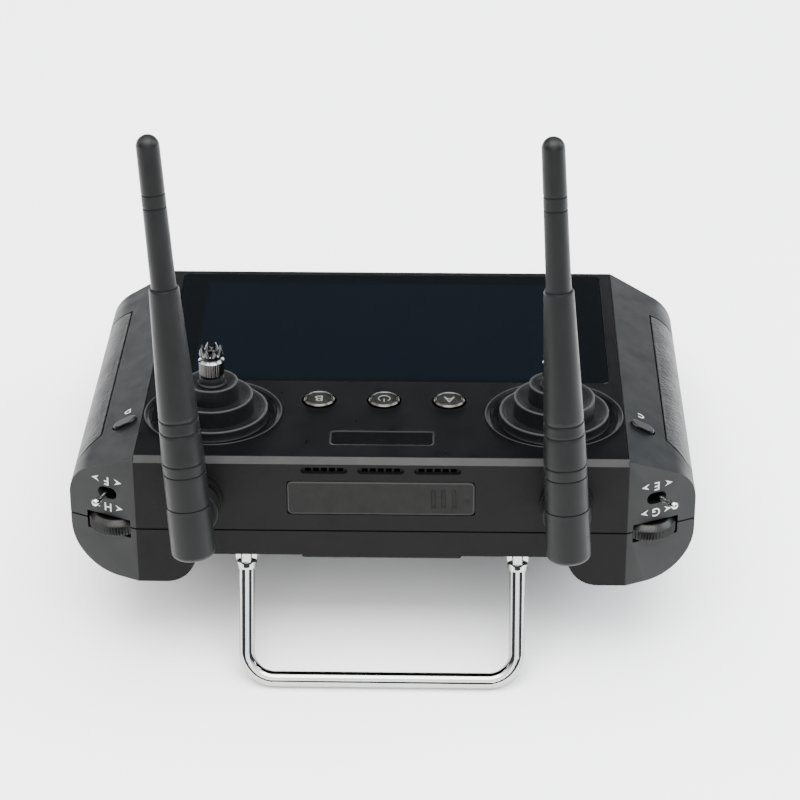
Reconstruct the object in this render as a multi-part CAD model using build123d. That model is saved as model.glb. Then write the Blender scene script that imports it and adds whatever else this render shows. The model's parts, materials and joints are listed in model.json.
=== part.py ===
"""Hand-held radio transmitter controller, standing on its folded-out handle.

Every piece is designed in the body frame: the origin is the middle of the top face's near edge,
+X to the right, +Y away from the antenna side and +Z out of the top face. At the end one
placement stands the whole object on a table, where +Z is up.
"""
from build123d import *
import math
import os

# ---------------------------------------------------------------- case
CASE_WIDTH = 190.0        # over the two sides
CASE_DEPTH = 130.0        # antenna side to pilot side
DECK_HALF = 74.0          # half width of the flat top
WALL = 2.2
WING_SLOPE = 26.5         # degrees, wings fall away from the deck
WING_ROUND = 11.7         # wing to side
END_SWEEP = 25.0          # degrees, end faces recede from the near face
FAR_SWEEP = 12.0
PARTING_Z = -24.6
PARTING_GROOVE = 0.5
BELLY_Z = -33.1           # underside between the grips
GRIP_Z = -43.0            # underside of the grips
GRIP_OUTER_ROUND = 15.0
GRIP_INNER_ROUND = 9.0
GRIP_INNER_TOP = 55.0     # half gap between the grips at the belly
GRIP_INNER_FOOT = 60.0
HEEL_ROUND = 8.0          # far bottom edge
TOP_BEVEL = 1.7
TONGUE = 1.1
TONGUE_RISE = 1.5
SLIDE_GAP = 0.1           # between parts that slip into each other
SEAT_GAP = 0.15           # around a plate in its recess

# ---------------------------------------------------------------- deck
PLATE_THICK = 2.5
PLATE_LEDGE = 2.6
LEDGE_THICK = 2.0
GLASS_HALF = 70.1
GLASS_NEAR = 50.2
GLASS_FAR = 127.6
GLASS_THICK = 1.2
GLASS_CORNER = 1.8
ACTIVE_HALF = 60.9        # 5.5 inch 16:9 picture area
ACTIVE_NEAR = 52.6
ACTIVE_FAR = 121.1
LCD_THICK = 2.9
LCD_BORDER = 0.7
LCD_PLAY = 0.3
TRAY_WALL = 1.0
BOARD_THICK = 1.6
NAME_HALF = 15.5
NAME_NEAR = 9.4
NAME_FAR = 17.7
NAME_DEPTH = 0.6

# ---------------------------------------------------------------- keys
KEY_X = 20.1              # A and B from the power key
KEY_Y = 37.6
KEY_R = 4.98
KEY_RING = 1.2            # width of the metal ring
KEY_HOLE_GAP = 0.42
KEY_HOLE_R = KEY_R + KEY_HOLE_GAP
KEY_FLANGE_R = KEY_HOLE_R + 0.9
KEY_RISE = 0.9
KEY_TRAVEL = 0.8
KEY_STEM = 1.4            # cap below the plate
KEY_FLANGE_THICK = 0.9
SWITCH_HALF = 2.6
SWITCH_TALL = 1.0
SWITCH_PLAY = 0.5         # between a pressed key and the bottom of its switch's stroke
SIDE_KEY_X = 79.4
SIDE_KEY_Y = 26.4
SIDE_KEY_LONG = 8.0
SIDE_KEY_WIDE = 4.2
SIDE_KEY_RISE = 0.8
SIDE_KEY_LIP = 1.8        # the retaining lip is this much longer and wider
SIDE_KEY_GAP = 0.5        # slot longer and wider than the key
SIDE_KEY_POCKET = 0.8     # pocket longer and wider than the lip
SIDE_KEY_TRAVEL = 0.7
SIDE_KEY_STEM = 1.5       # key below the wing's inner face
SIDE_SWITCH_TALL = 0.8

# ---------------------------------------------------------------- sticks
STICK_X = 52.2
STICK_Y = 28.8
STICK_PIVOT_Z = -8.0
PLATE_HOLE_R = 17.4
BEZEL_RISE = 0.5
BEZEL_WALL = 0.6
BEZEL_LIP = 1.6           # ring beyond its recess
RECESS_DEPTH = 1.0
BASE_HALF = 18.5
BASE_WALL = 3.5
BASE_FLOOR_Z = -19.5
BASE_FLOOR = 1.5
YOKE_HALF = 13.0
YOKE_WALL = 3.0
YOKE_THICK = 4.0
YOKE_CORNER = 4.0
AXLE_R = 1.5
RUNNING = 0.05            # radial running clearance
SHAFT_R = 2.2
HUB_R = 4.0
HUB_HALF = 9.0
BOOT_WALL = 1.0
BOOT_STEPS = ((16.6, 2.0), (12.2, 6.6), (7.7, 11.3))
BOOT_NECK_R = 3.8
BOOT_TOP = 13.1
BOOT_FLANGE_R = 18.8
BOOT_FLANGE = 0.7
BEZEL_RECESS_R = BOOT_FLANGE_R + BEZEL_WALL + 0.2
BEZEL_OUTER_R = BEZEL_RECESS_R + BEZEL_LIP
KNOB_R = 3.9
KNOB_BASE_Z = 13.5
KNOB_TOP_Z = 22.8
KNOB_WAIST_Z = 19.0
KNOB_BORE_R = 1.5
KNOB_PRONGS = 8

# ---------------------------------------------------------------- near face
DOOR_HALF = 28.0
DOOR_TOP_Z = -7.7
DOOR_BOTTOM_Z = -18.7
DOOR_CORNER = 1.5
DOOR_RECESS_CORNER = 0.9  # smaller, so that the open door's corners clear it
DOOR_THICK = 1.2
DOOR_PROUD = 0.1
DOOR_GAP = 0.25
DOOR_GROOVES = (15.7, 18.8, 21.9)
DOOR_GROOVE_WIDE = 1.0
DOOR_GROOVE_DEEP = 0.35
DOOR_GROOVE_TALL = 6.6
DOOR_HINGE_R = (DOOR_THICK - DOOR_GAP + DOOR_PROUD) / 2    # knuckle along the door's left end
VENT_LONG = 14.0
VENT_TALL = 2.1
VENT_PITCH = 16.95
VENT_Z = -3.85
VENT_HOLES = 5

# ---------------------------------------------------------------- end faces
FACE_MID_X = 82.7         # where the toggle and the dial sit along X
TOGGLE_Z = -14.4
TOGGLE_SLOT_LONG = 6.5
TOGGLE_SLOT_TALL = 3.8
TOGGLE_R = 1.0
TOGGLE_REACH = 6.3
TOGGLE_BALL_R = 1.3
TOGGLE_REST = {"left": 0.0, "right": 14.0}    # degrees outward, as the levers stand
TOGGLE_PIVOT_DEPTH = 4.0
TOGGLE_PIN_R = 0.8
TOGGLE_PIN_HALF = 3.2
TOGGLE_BODY_HALF = 5.5
TOGGLE_BODY_TALL = 3.6    # half height
TOGGLE_BODY_DEEP = 9.0
DIAL_R = 8.5
DIAL_THICK = 5.2
DIAL_PROUD = 3.5
DIAL_Z = -25.25
DIAL_WINDOW_LONG = 2 * math.sqrt(DIAL_R ** 2 - (DIAL_R - DIAL_PROUD) ** 2) + 1.5
DIAL_WINDOW_TALL = DIAL_THICK + 0.9
DIAL_WINDOW_CORNER = 1.1
DIAL_AXLE_R = 1.5
POT_LOW_Z = -36.0         # underside of the dial's potentiometer
POT_DEEP = 9.0

# ---------------------------------------------------------------- grip pads
PAD_INNER_X = 86.7
PAD_NEAR_Y = 25.5
PAD_FAR_Y = 111.0
PAD_LOW_Z = -22.4
PAD_THICK = 1.2
PAD_GAP = 0.4
PAD_GLUE = 0.05

# ---------------------------------------------------------------- antennas
ANTENNA_X = 55.4
ANTENNA_Z = -14.0
ANTENNA_Y = -17.3         # antenna axis at the pivot
BOSS_R = 8.1
BOSS_REACH = 2.5
COLLAR_R = 7.25
COLLAR_FACE_Y = -8.6
SPINDLE_R = 3.0
TONGUE_HALF = 2.0
TONGUE_R = 4.0
BARREL_R = 6.55
BARREL_LONG = 16.4
BARREL_BELOW = 8.5        # bottom of the barrel below its pivot
SLEEVE_R = 6.35
SLEEVE_TOP_R = 4.33
SLEEVE_TAPER = 31.2       # the taper starts here
SLEEVE_TOP = 84.5
TIP_R = 3.65
TIP_TOP_R = 3.33
ANTENNA_LONG = 129.8
SLEEVE_GROOVES = (27.3, 30.8, 40.5, 44.3)
TIP_GROOVES = (108.8, 112.8)
GROOVE_DEPTH = 0.35
GROOVE_WIDE = 0.6
LEAN_SIDE = {"left": -4.1, "right": -3.3}    # degrees, both lean to -X
LEAN_BACK = 5.0           # degrees, towards the pilot

# ---------------------------------------------------------------- handle
HANDLE_X = 41.4
HANDLE_PIVOT_Y = 7.7
HANDLE_PIVOT_Z = -37.0
HANDLE_LONG = 39.5        # pivot to bar
HANDLE_DROP = 69.0        # degrees below -Y when folded out
HANDLE_ROD_R = 2.45
HANDLE_CORNER = 8.5
EYE_R = 2.6
EYE_HALF = 1.4
FERRULE_R = 3.2
FERRULE_END_R = 2.8
FERRULE_START = 2.8       # from the pivot
FERRULE_LONG = 2.2
PIN_R = 1.25
PIN_HEAD = 0.3            # pin beyond the ears
EAR_GAP = 0.25
EAR_THICK = 1.55
BRACKET_HALF = 6.0
BRACKET_NEAR = 4.2        # from the pivot
BRACKET_FAR = 2.5
BRACKET_BASE = 0.9

# ---------------------------------------------------------------- inside
BACK_PLATE_HALF = 24.2
BACK_PLATE_DROP = 2.0
BACK_PLATE_CHAMFER = 0.6
BACK_PLATE_NEAR = 1.2
BACK_PLATE_FAR = 118.0
SCREW_R = 1.25
SCREW_HEAD_R = 2.4
SCREW_HEAD = 1.6
BOSS_PILLAR_R = 3.2
BATTERY_HALF = 38.0
BATTERY_NEAR = 50.0
BATTERY_FAR = 118.0
BATTERY_TALL = 15.5
MAIN_BOARD_HALF = 58.0
MAIN_BOARD_NEAR = 54.0
MAIN_BOARD_FAR = 120.0
SHIELD_HALF = 22.0
SHIELD_NEAR = 62.0
SHIELD_FAR = 96.0
SHIELD_TALL = 2.4
STANDOFF_R = 2.5
STANDOFF_X = 50.0
STANDOFF_YS = (60.0, 114.0)

HALF = CASE_WIDTH / 2
SPLIT_TOP = PARTING_Z + PARTING_GROOVE / 2
SPLIT_LOW = PARTING_Z - PARTING_GROOVE / 2
END_DEPTH = (HALF - DECK_HALF) * math.tan(math.radians(END_SWEEP))
WING_DROP = (HALF - DECK_HALF) * math.tan(math.radians(WING_SLOPE))
FAR_DEPTH = (HALF - DECK_HALF) * math.tan(math.radians(FAR_SWEEP))
BIG = 400.0
SIDES = {"left": -1, "right": 1}
pieces = {}


# ---------------------------------------------------------------- helpers
def box(x0, x1, y0, y1, z0, z1):
    """Box between two corners."""
    return Pos((x0 + x1) / 2, (y0 + y1) / 2, (z0 + z1) / 2) * Box(x1 - x0, y1 - y0, z1 - z0)


def rod_x(r, x0, x1, y, z):
    """Cylinder along X."""
    return Pos((x0 + x1) / 2, y, z) * Rot(0, 90, 0) * Cylinder(r, x1 - x0)


def rod_y(r, y0, y1, x, z):
    """Cylinder along Y."""
    return Pos(x, (y0 + y1) / 2, z) * Rot(90, 0, 0) * Cylinder(r, y1 - y0)


def rod_z(r, z0, z1, x, y):
    """Cylinder along Z."""
    return Pos(x, y, (z0 + z1) / 2) * Cylinder(r, z1 - z0)


def outline(points):
    """Closed face through the points, in the XY plane."""
    return make_face(Polyline(*points, close=True))


def rounded(face, corners, radius):
    """Round the face's corners nearest the given points."""
    picked = [min(face.vertices(), key=lambda v: (v.X - x) ** 2 + (v.Y - y) ** 2) for x, y in corners]
    return fillet(picked, radius)


def along_y(face, y0, y1):
    """Extrude a face drawn in (X, Z) from y0 to y1."""
    return Pos(0, y0, 0) * extrude(Plane.XZ * face, -(y1 - y0))


def along_x(face, x0, x1):
    """Extrude a face drawn in (Y, Z) from x0 to x1."""
    return Pos(x0, 0, 0) * extrude(Plane.YZ * face, x1 - x0)


def mirrored(shape, side):
    """The right-hand shape, mirrored for the left side."""
    return shape if side > 0 else mirror(shape, Plane.YZ)


# ---------------------------------------------------------------- case block
def case_profile():
    """Cross-section in (X, Z)."""
    right = [(DECK_HALF, 0), (HALF, -WING_DROP), (HALF, GRIP_Z), (GRIP_INNER_FOOT, GRIP_Z),
             (GRIP_INNER_TOP, BELLY_Z)]
    left = [(-x, z) for x, z in reversed(right)]
    face = outline(right + left)
    both = (-1, 1)
    face = rounded(face, [(s * HALF, -WING_DROP) for s in both], WING_ROUND)
    face = rounded(face, [(s * HALF, GRIP_Z) for s in both], GRIP_OUTER_ROUND)
    return rounded(face, [(s * GRIP_INNER_FOOT, GRIP_Z) for s in both], GRIP_INNER_ROUND)


def case_plan():
    """Outline seen from above."""
    right = [(DECK_HALF, 0), (HALF, END_DEPTH), (HALF, CASE_DEPTH - FAR_DEPTH), (DECK_HALF, CASE_DEPTH)]
    left = [(-x, y) for x, y in reversed(right)]
    return outline(right + left)


def case_side():
    """Outline in (Y, Z), with the rounded heel."""
    face = outline([(0, 0), (CASE_DEPTH, 0), (CASE_DEPTH, GRIP_Z), (0, GRIP_Z)])
    return rounded(face, [(CASE_DEPTH, GRIP_Z)], HEEL_ROUND)


def case_block(inset=0.0):
    """The case's outer solid, moved in by inset all round."""
    faces = [case_profile(), case_plan(), case_side()]
    if inset:
        faces = [offset(f, -inset, kind=Kind.INTERSECTION) for f in faces]
    prism = along_y(faces[0], 0, CASE_DEPTH)
    plan = Pos(0, 0, GRIP_Z) * extrude(faces[1], -GRIP_Z)
    side = along_x(faces[2], -HALF, HALF)
    return prism & plan & side


def above(shape, z):
    return shape & box(-BIG, BIG, -BIG, BIG, z, BIG)


def below(shape, z):
    return shape & box(-BIG, BIG, -BIG, BIG, -BIG, z)


# ---------------------------------------------------------------- end-face frame
FACE_MID_Y = (FACE_MID_X - DECK_HALF) * math.tan(math.radians(END_SWEEP))


def end_face(z):
    """Frame on the right end face: local +Z leaves the case, local +Y is the body's +Z."""
    sweep = math.radians(END_SWEEP)
    normal = (math.sin(sweep), -math.cos(sweep), 0)
    along = (math.cos(sweep), math.sin(sweep), 0)
    return Plane(origin=(FACE_MID_X, FACE_MID_Y, z), x_dir=along, z_dir=normal)


def wing_face(x, y):
    """Frame on the right wing: local +Z leaves the case, local +X runs down the slope."""
    slope = math.radians(WING_SLOPE)
    z = -(x - DECK_HALF) * math.tan(slope)
    down = (math.cos(slope), 0, -math.sin(slope))
    return Plane(origin=(x, y, z), x_dir=down, z_dir=(math.sin(slope), 0, math.cos(slope)))


def on(plane, shape):
    return plane.location * shape


def slot_solid(long, tall, z0, z1):
    """Obround prism along local Z, its long way along local X."""
    return Pos(0, 0, z0) * extrude(SlotOverall(long, tall), z1 - z0)


def dial_centre():
    """Dial axis in plan, on the right side."""
    sweep = math.radians(END_SWEEP)
    depth = DIAL_R - DIAL_PROUD
    return FACE_MID_X - depth * math.sin(sweep), FACE_MID_Y + depth * math.cos(sweep)


# ---------------------------------------------------------------- placements
PILLARS = [(33.5, 6.6), (67.9, 121.0), (82.5, 66.0)]
NEAR_PILLAR, FAR_PILLAR, SIDE_PILLAR = PILLARS
PILLAR_FOOT_Z = {NEAR_PILLAR: BELLY_Z, FAR_PILLAR: GRIP_Z, SIDE_PILLAR: GRIP_Z}
SCREW_SEAT_Z = {NEAR_PILLAR: -31.0, FAR_PILLAR: -33.0, SIDE_PILLAR: -33.0}
SCREW_TIP_Z = -15.0
PLATE_NEAR = TOP_BEVEL + 0.4
PLATE_FAR = CASE_DEPTH - 1.0
PLATE_HALF = DECK_HALF - 0.4
TRAY_HALF = ACTIVE_HALF + 4.0
TRAY_NEAR = ACTIVE_NEAR - 2.6
TRAY_FAR = ACTIVE_FAR + 3.4
TRAY_FLOOR_Z = -(GLASS_THICK + SLIDE_GAP + LCD_THICK)
TRAY_LOW_Z = TRAY_FLOOR_Z - TRAY_WALL
STANDOFF = 2.6
MAIN_BOARD_TOP = TRAY_LOW_Z - STANDOFF
KEY_CAP_LOW = -PLATE_THICK - KEY_STEM
KEY_BOARD_TOP = KEY_CAP_LOW - KEY_TRAVEL - SWITCH_PLAY - SWITCH_TALL
KEY_BOARD_HALF = 32.0
KEY_BOARD_DEEP = 5.5
KEY_POST_X = 29.5
DOOR_MIDDLE_Z = (DOOR_TOP_Z + DOOR_BOTTOM_Z) / 2
PORT_DEEP = 8.0
PORTS = ((-16.0, 9.4, 3.4), (0.0, 7.8, 3.2), (13.0, 9.4, 3.4))


def pillar(x, y, z0, z1, side, r=BOSS_PILLAR_R):
    return rod_z(r, z0, z1, side * x, y)


# ---------------------------------------------------------------- shells
def shell_cuts():
    """Windows that go through the end faces and wings, for both sides."""
    dial_x, dial_y = dial_centre()
    half_long = DIAL_WINDOW_LONG / 2
    half_tall = DIAL_WINDOW_TALL / 2
    window = rounded_plate(-half_long, half_long, -half_tall, half_tall, -WALL - 2, 1, DIAL_WINDOW_CORNER)
    window = on(end_face(DIAL_Z), window)
    well = rod_z(DIAL_R + 0.6, DIAL_Z - DIAL_WINDOW_TALL / 2, DIAL_Z + DIAL_WINDOW_TALL / 2, dial_x, dial_y)
    toggle = on(end_face(TOGGLE_Z), slot_solid(TOGGLE_SLOT_LONG, TOGGLE_SLOT_TALL, -WALL - 1, 1))
    lip = SIDE_KEY_LIP + SIDE_KEY_POCKET
    key = slot_solid(SIDE_KEY_LONG + SIDE_KEY_GAP, SIDE_KEY_WIDE + SIDE_KEY_GAP, -WALL - 3, 1)
    key += slot_solid(SIDE_KEY_LONG + lip, SIDE_KEY_WIDE + lip, -WALL - 6, -WALL)
    key = on(wing_face(SIDE_KEY_X, SIDE_KEY_Y), key)
    right = window + well + toggle + key
    return right + mirror(right, Plane.YZ)


def pad_region(gap):
    """Plan region of the right grip pad."""
    points = [(PAD_INNER_X - gap, PAD_NEAR_Y - gap), (89.0 - gap, 22.9 - gap), (92.6 - gap, 19.0 - gap),
              (HALF + 5, 19.0 - gap), (HALF + 5, PAD_FAR_Y + gap), (PAD_INNER_X - gap, PAD_FAR_Y + gap)]
    return Pos(0, 0, PAD_LOW_Z - gap) * extrude(outline(points), -PAD_LOW_Z + gap)


def door_outline(gap, corner):
    """Outline of the port door in (X, Z), grown by gap."""
    half = DOOR_HALF + gap
    top = DOOR_TOP_Z + gap
    bottom = DOOR_BOTTOM_Z - gap
    corners = [(-half, top), (half, top), (half, bottom), (-half, bottom)]
    return rounded(outline(corners), corners, corner)


def make_shells():
    outer = case_block()
    shell = outer - case_block(WALL)
    deck_frame = box(-DECK_HALF - 2, DECK_HALF + 2, 0, CASE_DEPTH, -PLATE_THICK - LEDGE_THICK, 0) & outer
    recess = box(-PLATE_HALF - SEAT_GAP, PLATE_HALF + SEAT_GAP, PLATE_NEAR - SEAT_GAP, PLATE_FAR + SEAT_GAP,
                 -PLATE_THICK, 5)
    mouth = box(-PLATE_HALF + PLATE_LEDGE, PLATE_HALF - PLATE_LEDGE, PLATE_NEAR + PLATE_LEDGE,
                PLATE_FAR - PLATE_LEDGE, -20, 5)
    bevel = along_x(outline([(-1, -TOP_BEVEL - 1), (-1, 1), (TOP_BEVEL + 1, 1)]), -DECK_HALF, DECK_HALF)
    upper = above(shell, SPLIT_TOP) + deck_frame

    for side in SIDES.values():
        pillar_top = -PLATE_THICK - 1
        near_x, near_y = NEAR_PILLAR
        upper += pillar(*NEAR_PILLAR, SPLIT_TOP, pillar_top, side)
        upper += box(side * near_x - 1, side * near_x + 1, WALL / 2, near_y, SPLIT_TOP, pillar_top)
        far_x, far_y = FAR_PILLAR
        upper += pillar(*FAR_PILLAR, SPLIT_TOP, pillar_top, side)
        upper += box(side * far_x - 1, side * far_x + 1, far_y, CASE_DEPTH - WALL / 2, SPLIT_TOP, pillar_top)
        upper += pillar(*SIDE_PILLAR, SPLIT_TOP, -3, side) & outer
        upper += rod_y(BOSS_R, -BOSS_REACH, 1, side * ANTENNA_X, ANTENNA_Z)
        upper -= rod_y(SPINDLE_R + RUNNING, -BIG, WALL + 1, side * ANTENNA_X, ANTENNA_Z)
        for x, y in PILLARS:
            upper -= rod_z(SCREW_R + RUNNING, PARTING_Z - 1, SCREW_TIP_Z + 1, side * x, y)
        upper -= mirrored(pad_region(PAD_GAP) & (outer - case_block(PAD_THICK)), side)
    upper = upper - recess - mouth - bevel

    upper -= along_y(door_outline(DOOR_GAP, DOOR_RECESS_CORNER), -1, DOOR_THICK)
    for x, wide, tall in PORTS:
        upper -= Pos(x, 0, DOOR_MIDDLE_Z) * Rot(90, 0, 0) * slot_solid(wide, tall, -WALL - 1, 1)
    for i in (-1, 0, 1):
        upper -= Pos(i * VENT_PITCH, 0, VENT_Z) * Rot(90, 0, 0) * slot_solid(VENT_LONG, VENT_TALL, -0.9, 1)
        for k in range(VENT_HOLES):
            x = i * VENT_PITCH + (k - (VENT_HOLES - 1) / 2) * (VENT_LONG - 2) / VENT_HOLES
            upper -= box(x - 0.9, x + 0.9, -1, PLATE_NEAR + PLATE_LEDGE + 1, VENT_Z - 0.7, VENT_Z + 0.65)

    tongue = case_block(WALL + SLIDE_GAP) - case_block(WALL + SLIDE_GAP + TONGUE)
    tongue = below(above(tongue, SPLIT_LOW - 2), SPLIT_TOP + TONGUE_RISE)
    root = below(above(case_block(WALL / 2) - case_block(WALL + TONGUE), SPLIT_LOW - 2), SPLIT_LOW)
    lower = below(shell, SPLIT_LOW) + tongue + root
    for side in SIDES.values():
        for spot in PILLARS:
            x, y = spot
            post = pillar(x, y, PILLAR_FOOT_Z[spot] + WALL / 2, SPLIT_TOP, side, BOSS_PILLAR_R + 0.6)
            lower += post & outer
            lower -= rod_z(SCREW_HEAD_R + 0.3, -BIG, SCREW_SEAT_Z[spot], side * x, y)
            lower -= rod_z(SCREW_R + 0.2, -BIG, 0, side * x, y)
        rib_low = SPLIT_TOP - 0.3
        for x, y0, y1 in ((NEAR_PILLAR[0], 0, NEAR_PILLAR[1]), (FAR_PILLAR[0], FAR_PILLAR[1], CASE_DEPTH)):
            lower -= box(side * x - 1.4, side * x + 1.4, y0, y1, rib_low, 0)
        pedestal = box(-5, 5, GRIP_Z + WALL / 2 - DIAL_Z, POT_LOW_Z - DIAL_Z, -WALL - POT_DEEP - 0.8,
                       -WALL / 2)
        lower += mirrored(on(end_face(DIAL_Z), pedestal), side)
    cuts = shell_cuts()
    pieces["upper_shell"] = upper - cuts
    pieces["lower_shell"] = lower - cuts


# ---------------------------------------------------------------- deck pieces
def rounded_plate(x0, x1, y0, y1, z0, z1, r):
    """Plate with its four upright edges rounded."""
    corners = [(x0, y0), (x1, y0), (x1, y1), (x0, y1)]
    return Pos(0, 0, z0) * extrude(rounded(outline(corners), corners, r), z1 - z0)


def make_deck():
    plate = box(-PLATE_HALF, PLATE_HALF, PLATE_NEAR, PLATE_FAR, -PLATE_THICK, 0)
    glass_low = -GLASS_THICK - SLIDE_GAP
    glass_seat = rounded_plate(-GLASS_HALF, GLASS_HALF, GLASS_NEAR, GLASS_FAR, glass_low, 5, GLASS_CORNER)
    lcd_half = ACTIVE_HALF + LCD_BORDER
    lcd_near = ACTIVE_NEAR - LCD_BORDER
    lcd_far = ACTIVE_FAR + LCD_BORDER
    window = box(-lcd_half - LCD_PLAY, lcd_half + LCD_PLAY, lcd_near - LCD_PLAY, lcd_far + LCD_PLAY, -10, 5)
    plate = plate - glass_seat - window
    plate -= box(-NAME_HALF, NAME_HALF, NAME_NEAR, NAME_FAR, -NAME_DEPTH, 5)
    for side in SIDES.values():
        plate -= rod_z(PLATE_HOLE_R, -10, 5, side * STICK_X, STICK_Y)
        plate -= rod_z(BEZEL_RECESS_R, -RECESS_DEPTH, 5, side * STICK_X, STICK_Y)
    for x in (-KEY_X, 0, KEY_X):
        plate -= rod_z(KEY_HOLE_R, -10, 5, x, KEY_Y)
    for x in (-KEY_POST_X, KEY_POST_X):
        plate += rod_z(2.0, KEY_BOARD_TOP, -PLATE_THICK, x, KEY_Y)
    pieces["face_plate"] = plate
    glass_half = GLASS_HALF - SEAT_GAP
    pieces["screen_glass"] = rounded_plate(-glass_half, glass_half, GLASS_NEAR + SEAT_GAP,
                                           GLASS_FAR - SEAT_GAP, glass_low, -SLIDE_GAP, GLASS_CORNER - SEAT_GAP)
    pieces["lcd_panel"] = box(-lcd_half, lcd_half, lcd_near, lcd_far, TRAY_FLOOR_Z, glass_low)
    tray = box(-TRAY_HALF, TRAY_HALF, TRAY_NEAR, TRAY_FAR, TRAY_LOW_Z, -PLATE_THICK)
    tray -= box(-TRAY_HALF + TRAY_WALL, TRAY_HALF - TRAY_WALL, TRAY_NEAR + TRAY_WALL, TRAY_FAR - TRAY_WALL,
                TRAY_FLOOR_Z, 5)
    for x in (-STANDOFF_X, STANDOFF_X):
        for y in STANDOFF_YS:
            tray += rod_z(STANDOFF_R, MAIN_BOARD_TOP, TRAY_LOW_Z, x, y)
    pieces["lcd_tray"] = tray
    pieces["nameplate_insert"] = box(-NAME_HALF + SLIDE_GAP, NAME_HALF - SLIDE_GAP, NAME_NEAR + SLIDE_GAP,
                                     NAME_FAR - SLIDE_GAP, -NAME_DEPTH, -0.15)
    board_low = MAIN_BOARD_TOP - BOARD_THICK
    pieces["main_board"] = box(-MAIN_BOARD_HALF, MAIN_BOARD_HALF, MAIN_BOARD_NEAR, MAIN_BOARD_FAR, board_low,
                               MAIN_BOARD_TOP)
    pieces["rf_shield"] = box(-SHIELD_HALF, SHIELD_HALF, SHIELD_NEAR, SHIELD_FAR, board_low - SHIELD_TALL,
                              board_low)


def make_keys():
    pieces["key_board"] = box(-KEY_BOARD_HALF, KEY_BOARD_HALF, KEY_Y - KEY_BOARD_DEEP, KEY_Y + KEY_BOARD_DEEP,
                              KEY_BOARD_TOP - BOARD_THICK, KEY_BOARD_TOP)
    switches = []
    for x, name in ((-KEY_X, "b"), (0, "power"), (KEY_X, "a")):
        switches.append(box(x - SWITCH_HALF, x + SWITCH_HALF, KEY_Y - SWITCH_HALF, KEY_Y + SWITCH_HALF,
                            KEY_BOARD_TOP, KEY_BOARD_TOP + SWITCH_TALL))
        inner = KEY_R - KEY_RING
        flange_top = -PLATE_THICK - 0.3
        cap = rod_z(inner, KEY_CAP_LOW, KEY_RISE - 0.2, x, KEY_Y)
        cap += rod_z(KEY_FLANGE_R, flange_top - KEY_FLANGE_THICK, flange_top, x, KEY_Y)
        ring = rod_z(KEY_R, flange_top, KEY_RISE, x, KEY_Y) - rod_z(inner, -10, 5, x, KEY_Y)
        rim = [e for e in ring.edges() if e.geom_type == GeomType.CIRCLE and abs(e.radius - KEY_R) < 0.01
               and abs(e.center().Z - KEY_RISE) < 0.01]
        pieces[f"button_{name}_cap"] = cap
        pieces[f"button_{name}_ring"] = chamfer(rim, 0.45)
    pieces["key_switches"] = switches

    boards = []
    for name, side in (("c", 1), ("d", -1)):
        face = wing_face(SIDE_KEY_X, SIDE_KEY_Y)
        key_low = -WALL - SIDE_KEY_STEM
        key = slot_solid(SIDE_KEY_LONG, SIDE_KEY_WIDE, key_low, SIDE_KEY_RISE)
        key += slot_solid(SIDE_KEY_LONG + SIDE_KEY_LIP, SIDE_KEY_WIDE + SIDE_KEY_LIP, key_low, key_low + 1.0)
        pieces[f"button_{name}"] = mirrored(on(face, key), side)
        switch_top = key_low - SIDE_KEY_TRAVEL - 0.4
        board_top = switch_top - SIDE_SWITCH_TALL
        board = box(-4, 4, -5.5, 5.5, board_top - 1.2, board_top)
        board += box(-1.6, 1.6, -1.6, 1.6, board_top, switch_top)
        for y in (-4.9, 4.9):
            board += box(-1.2, 1.2, y - 0.6, y + 0.6, board_top, -WALL)
        boards.append(mirrored(on(face, board), side))
    pieces["side_key_boards"] = boards


# ---------------------------------------------------------------- sticks
def boot_outline(inset):
    """Half section of the stepped boot, as (radius, z), from the foot up."""
    steps = [(BOOT_FLANGE_R - 1.8, -RECESS_DEPTH)]
    for radius, z in BOOT_STEPS:
        steps += [(radius + 0.5, z - 1.6), (radius, z), (radius - 2.6, z + 0.5)]
    steps += [(BOOT_NECK_R, BOOT_TOP - 1.5), (BOOT_NECK_R, BOOT_TOP)]
    return [(r - inset, z - (0.6 * inset if z > 0 else 0)) for r, z in steps]


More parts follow.
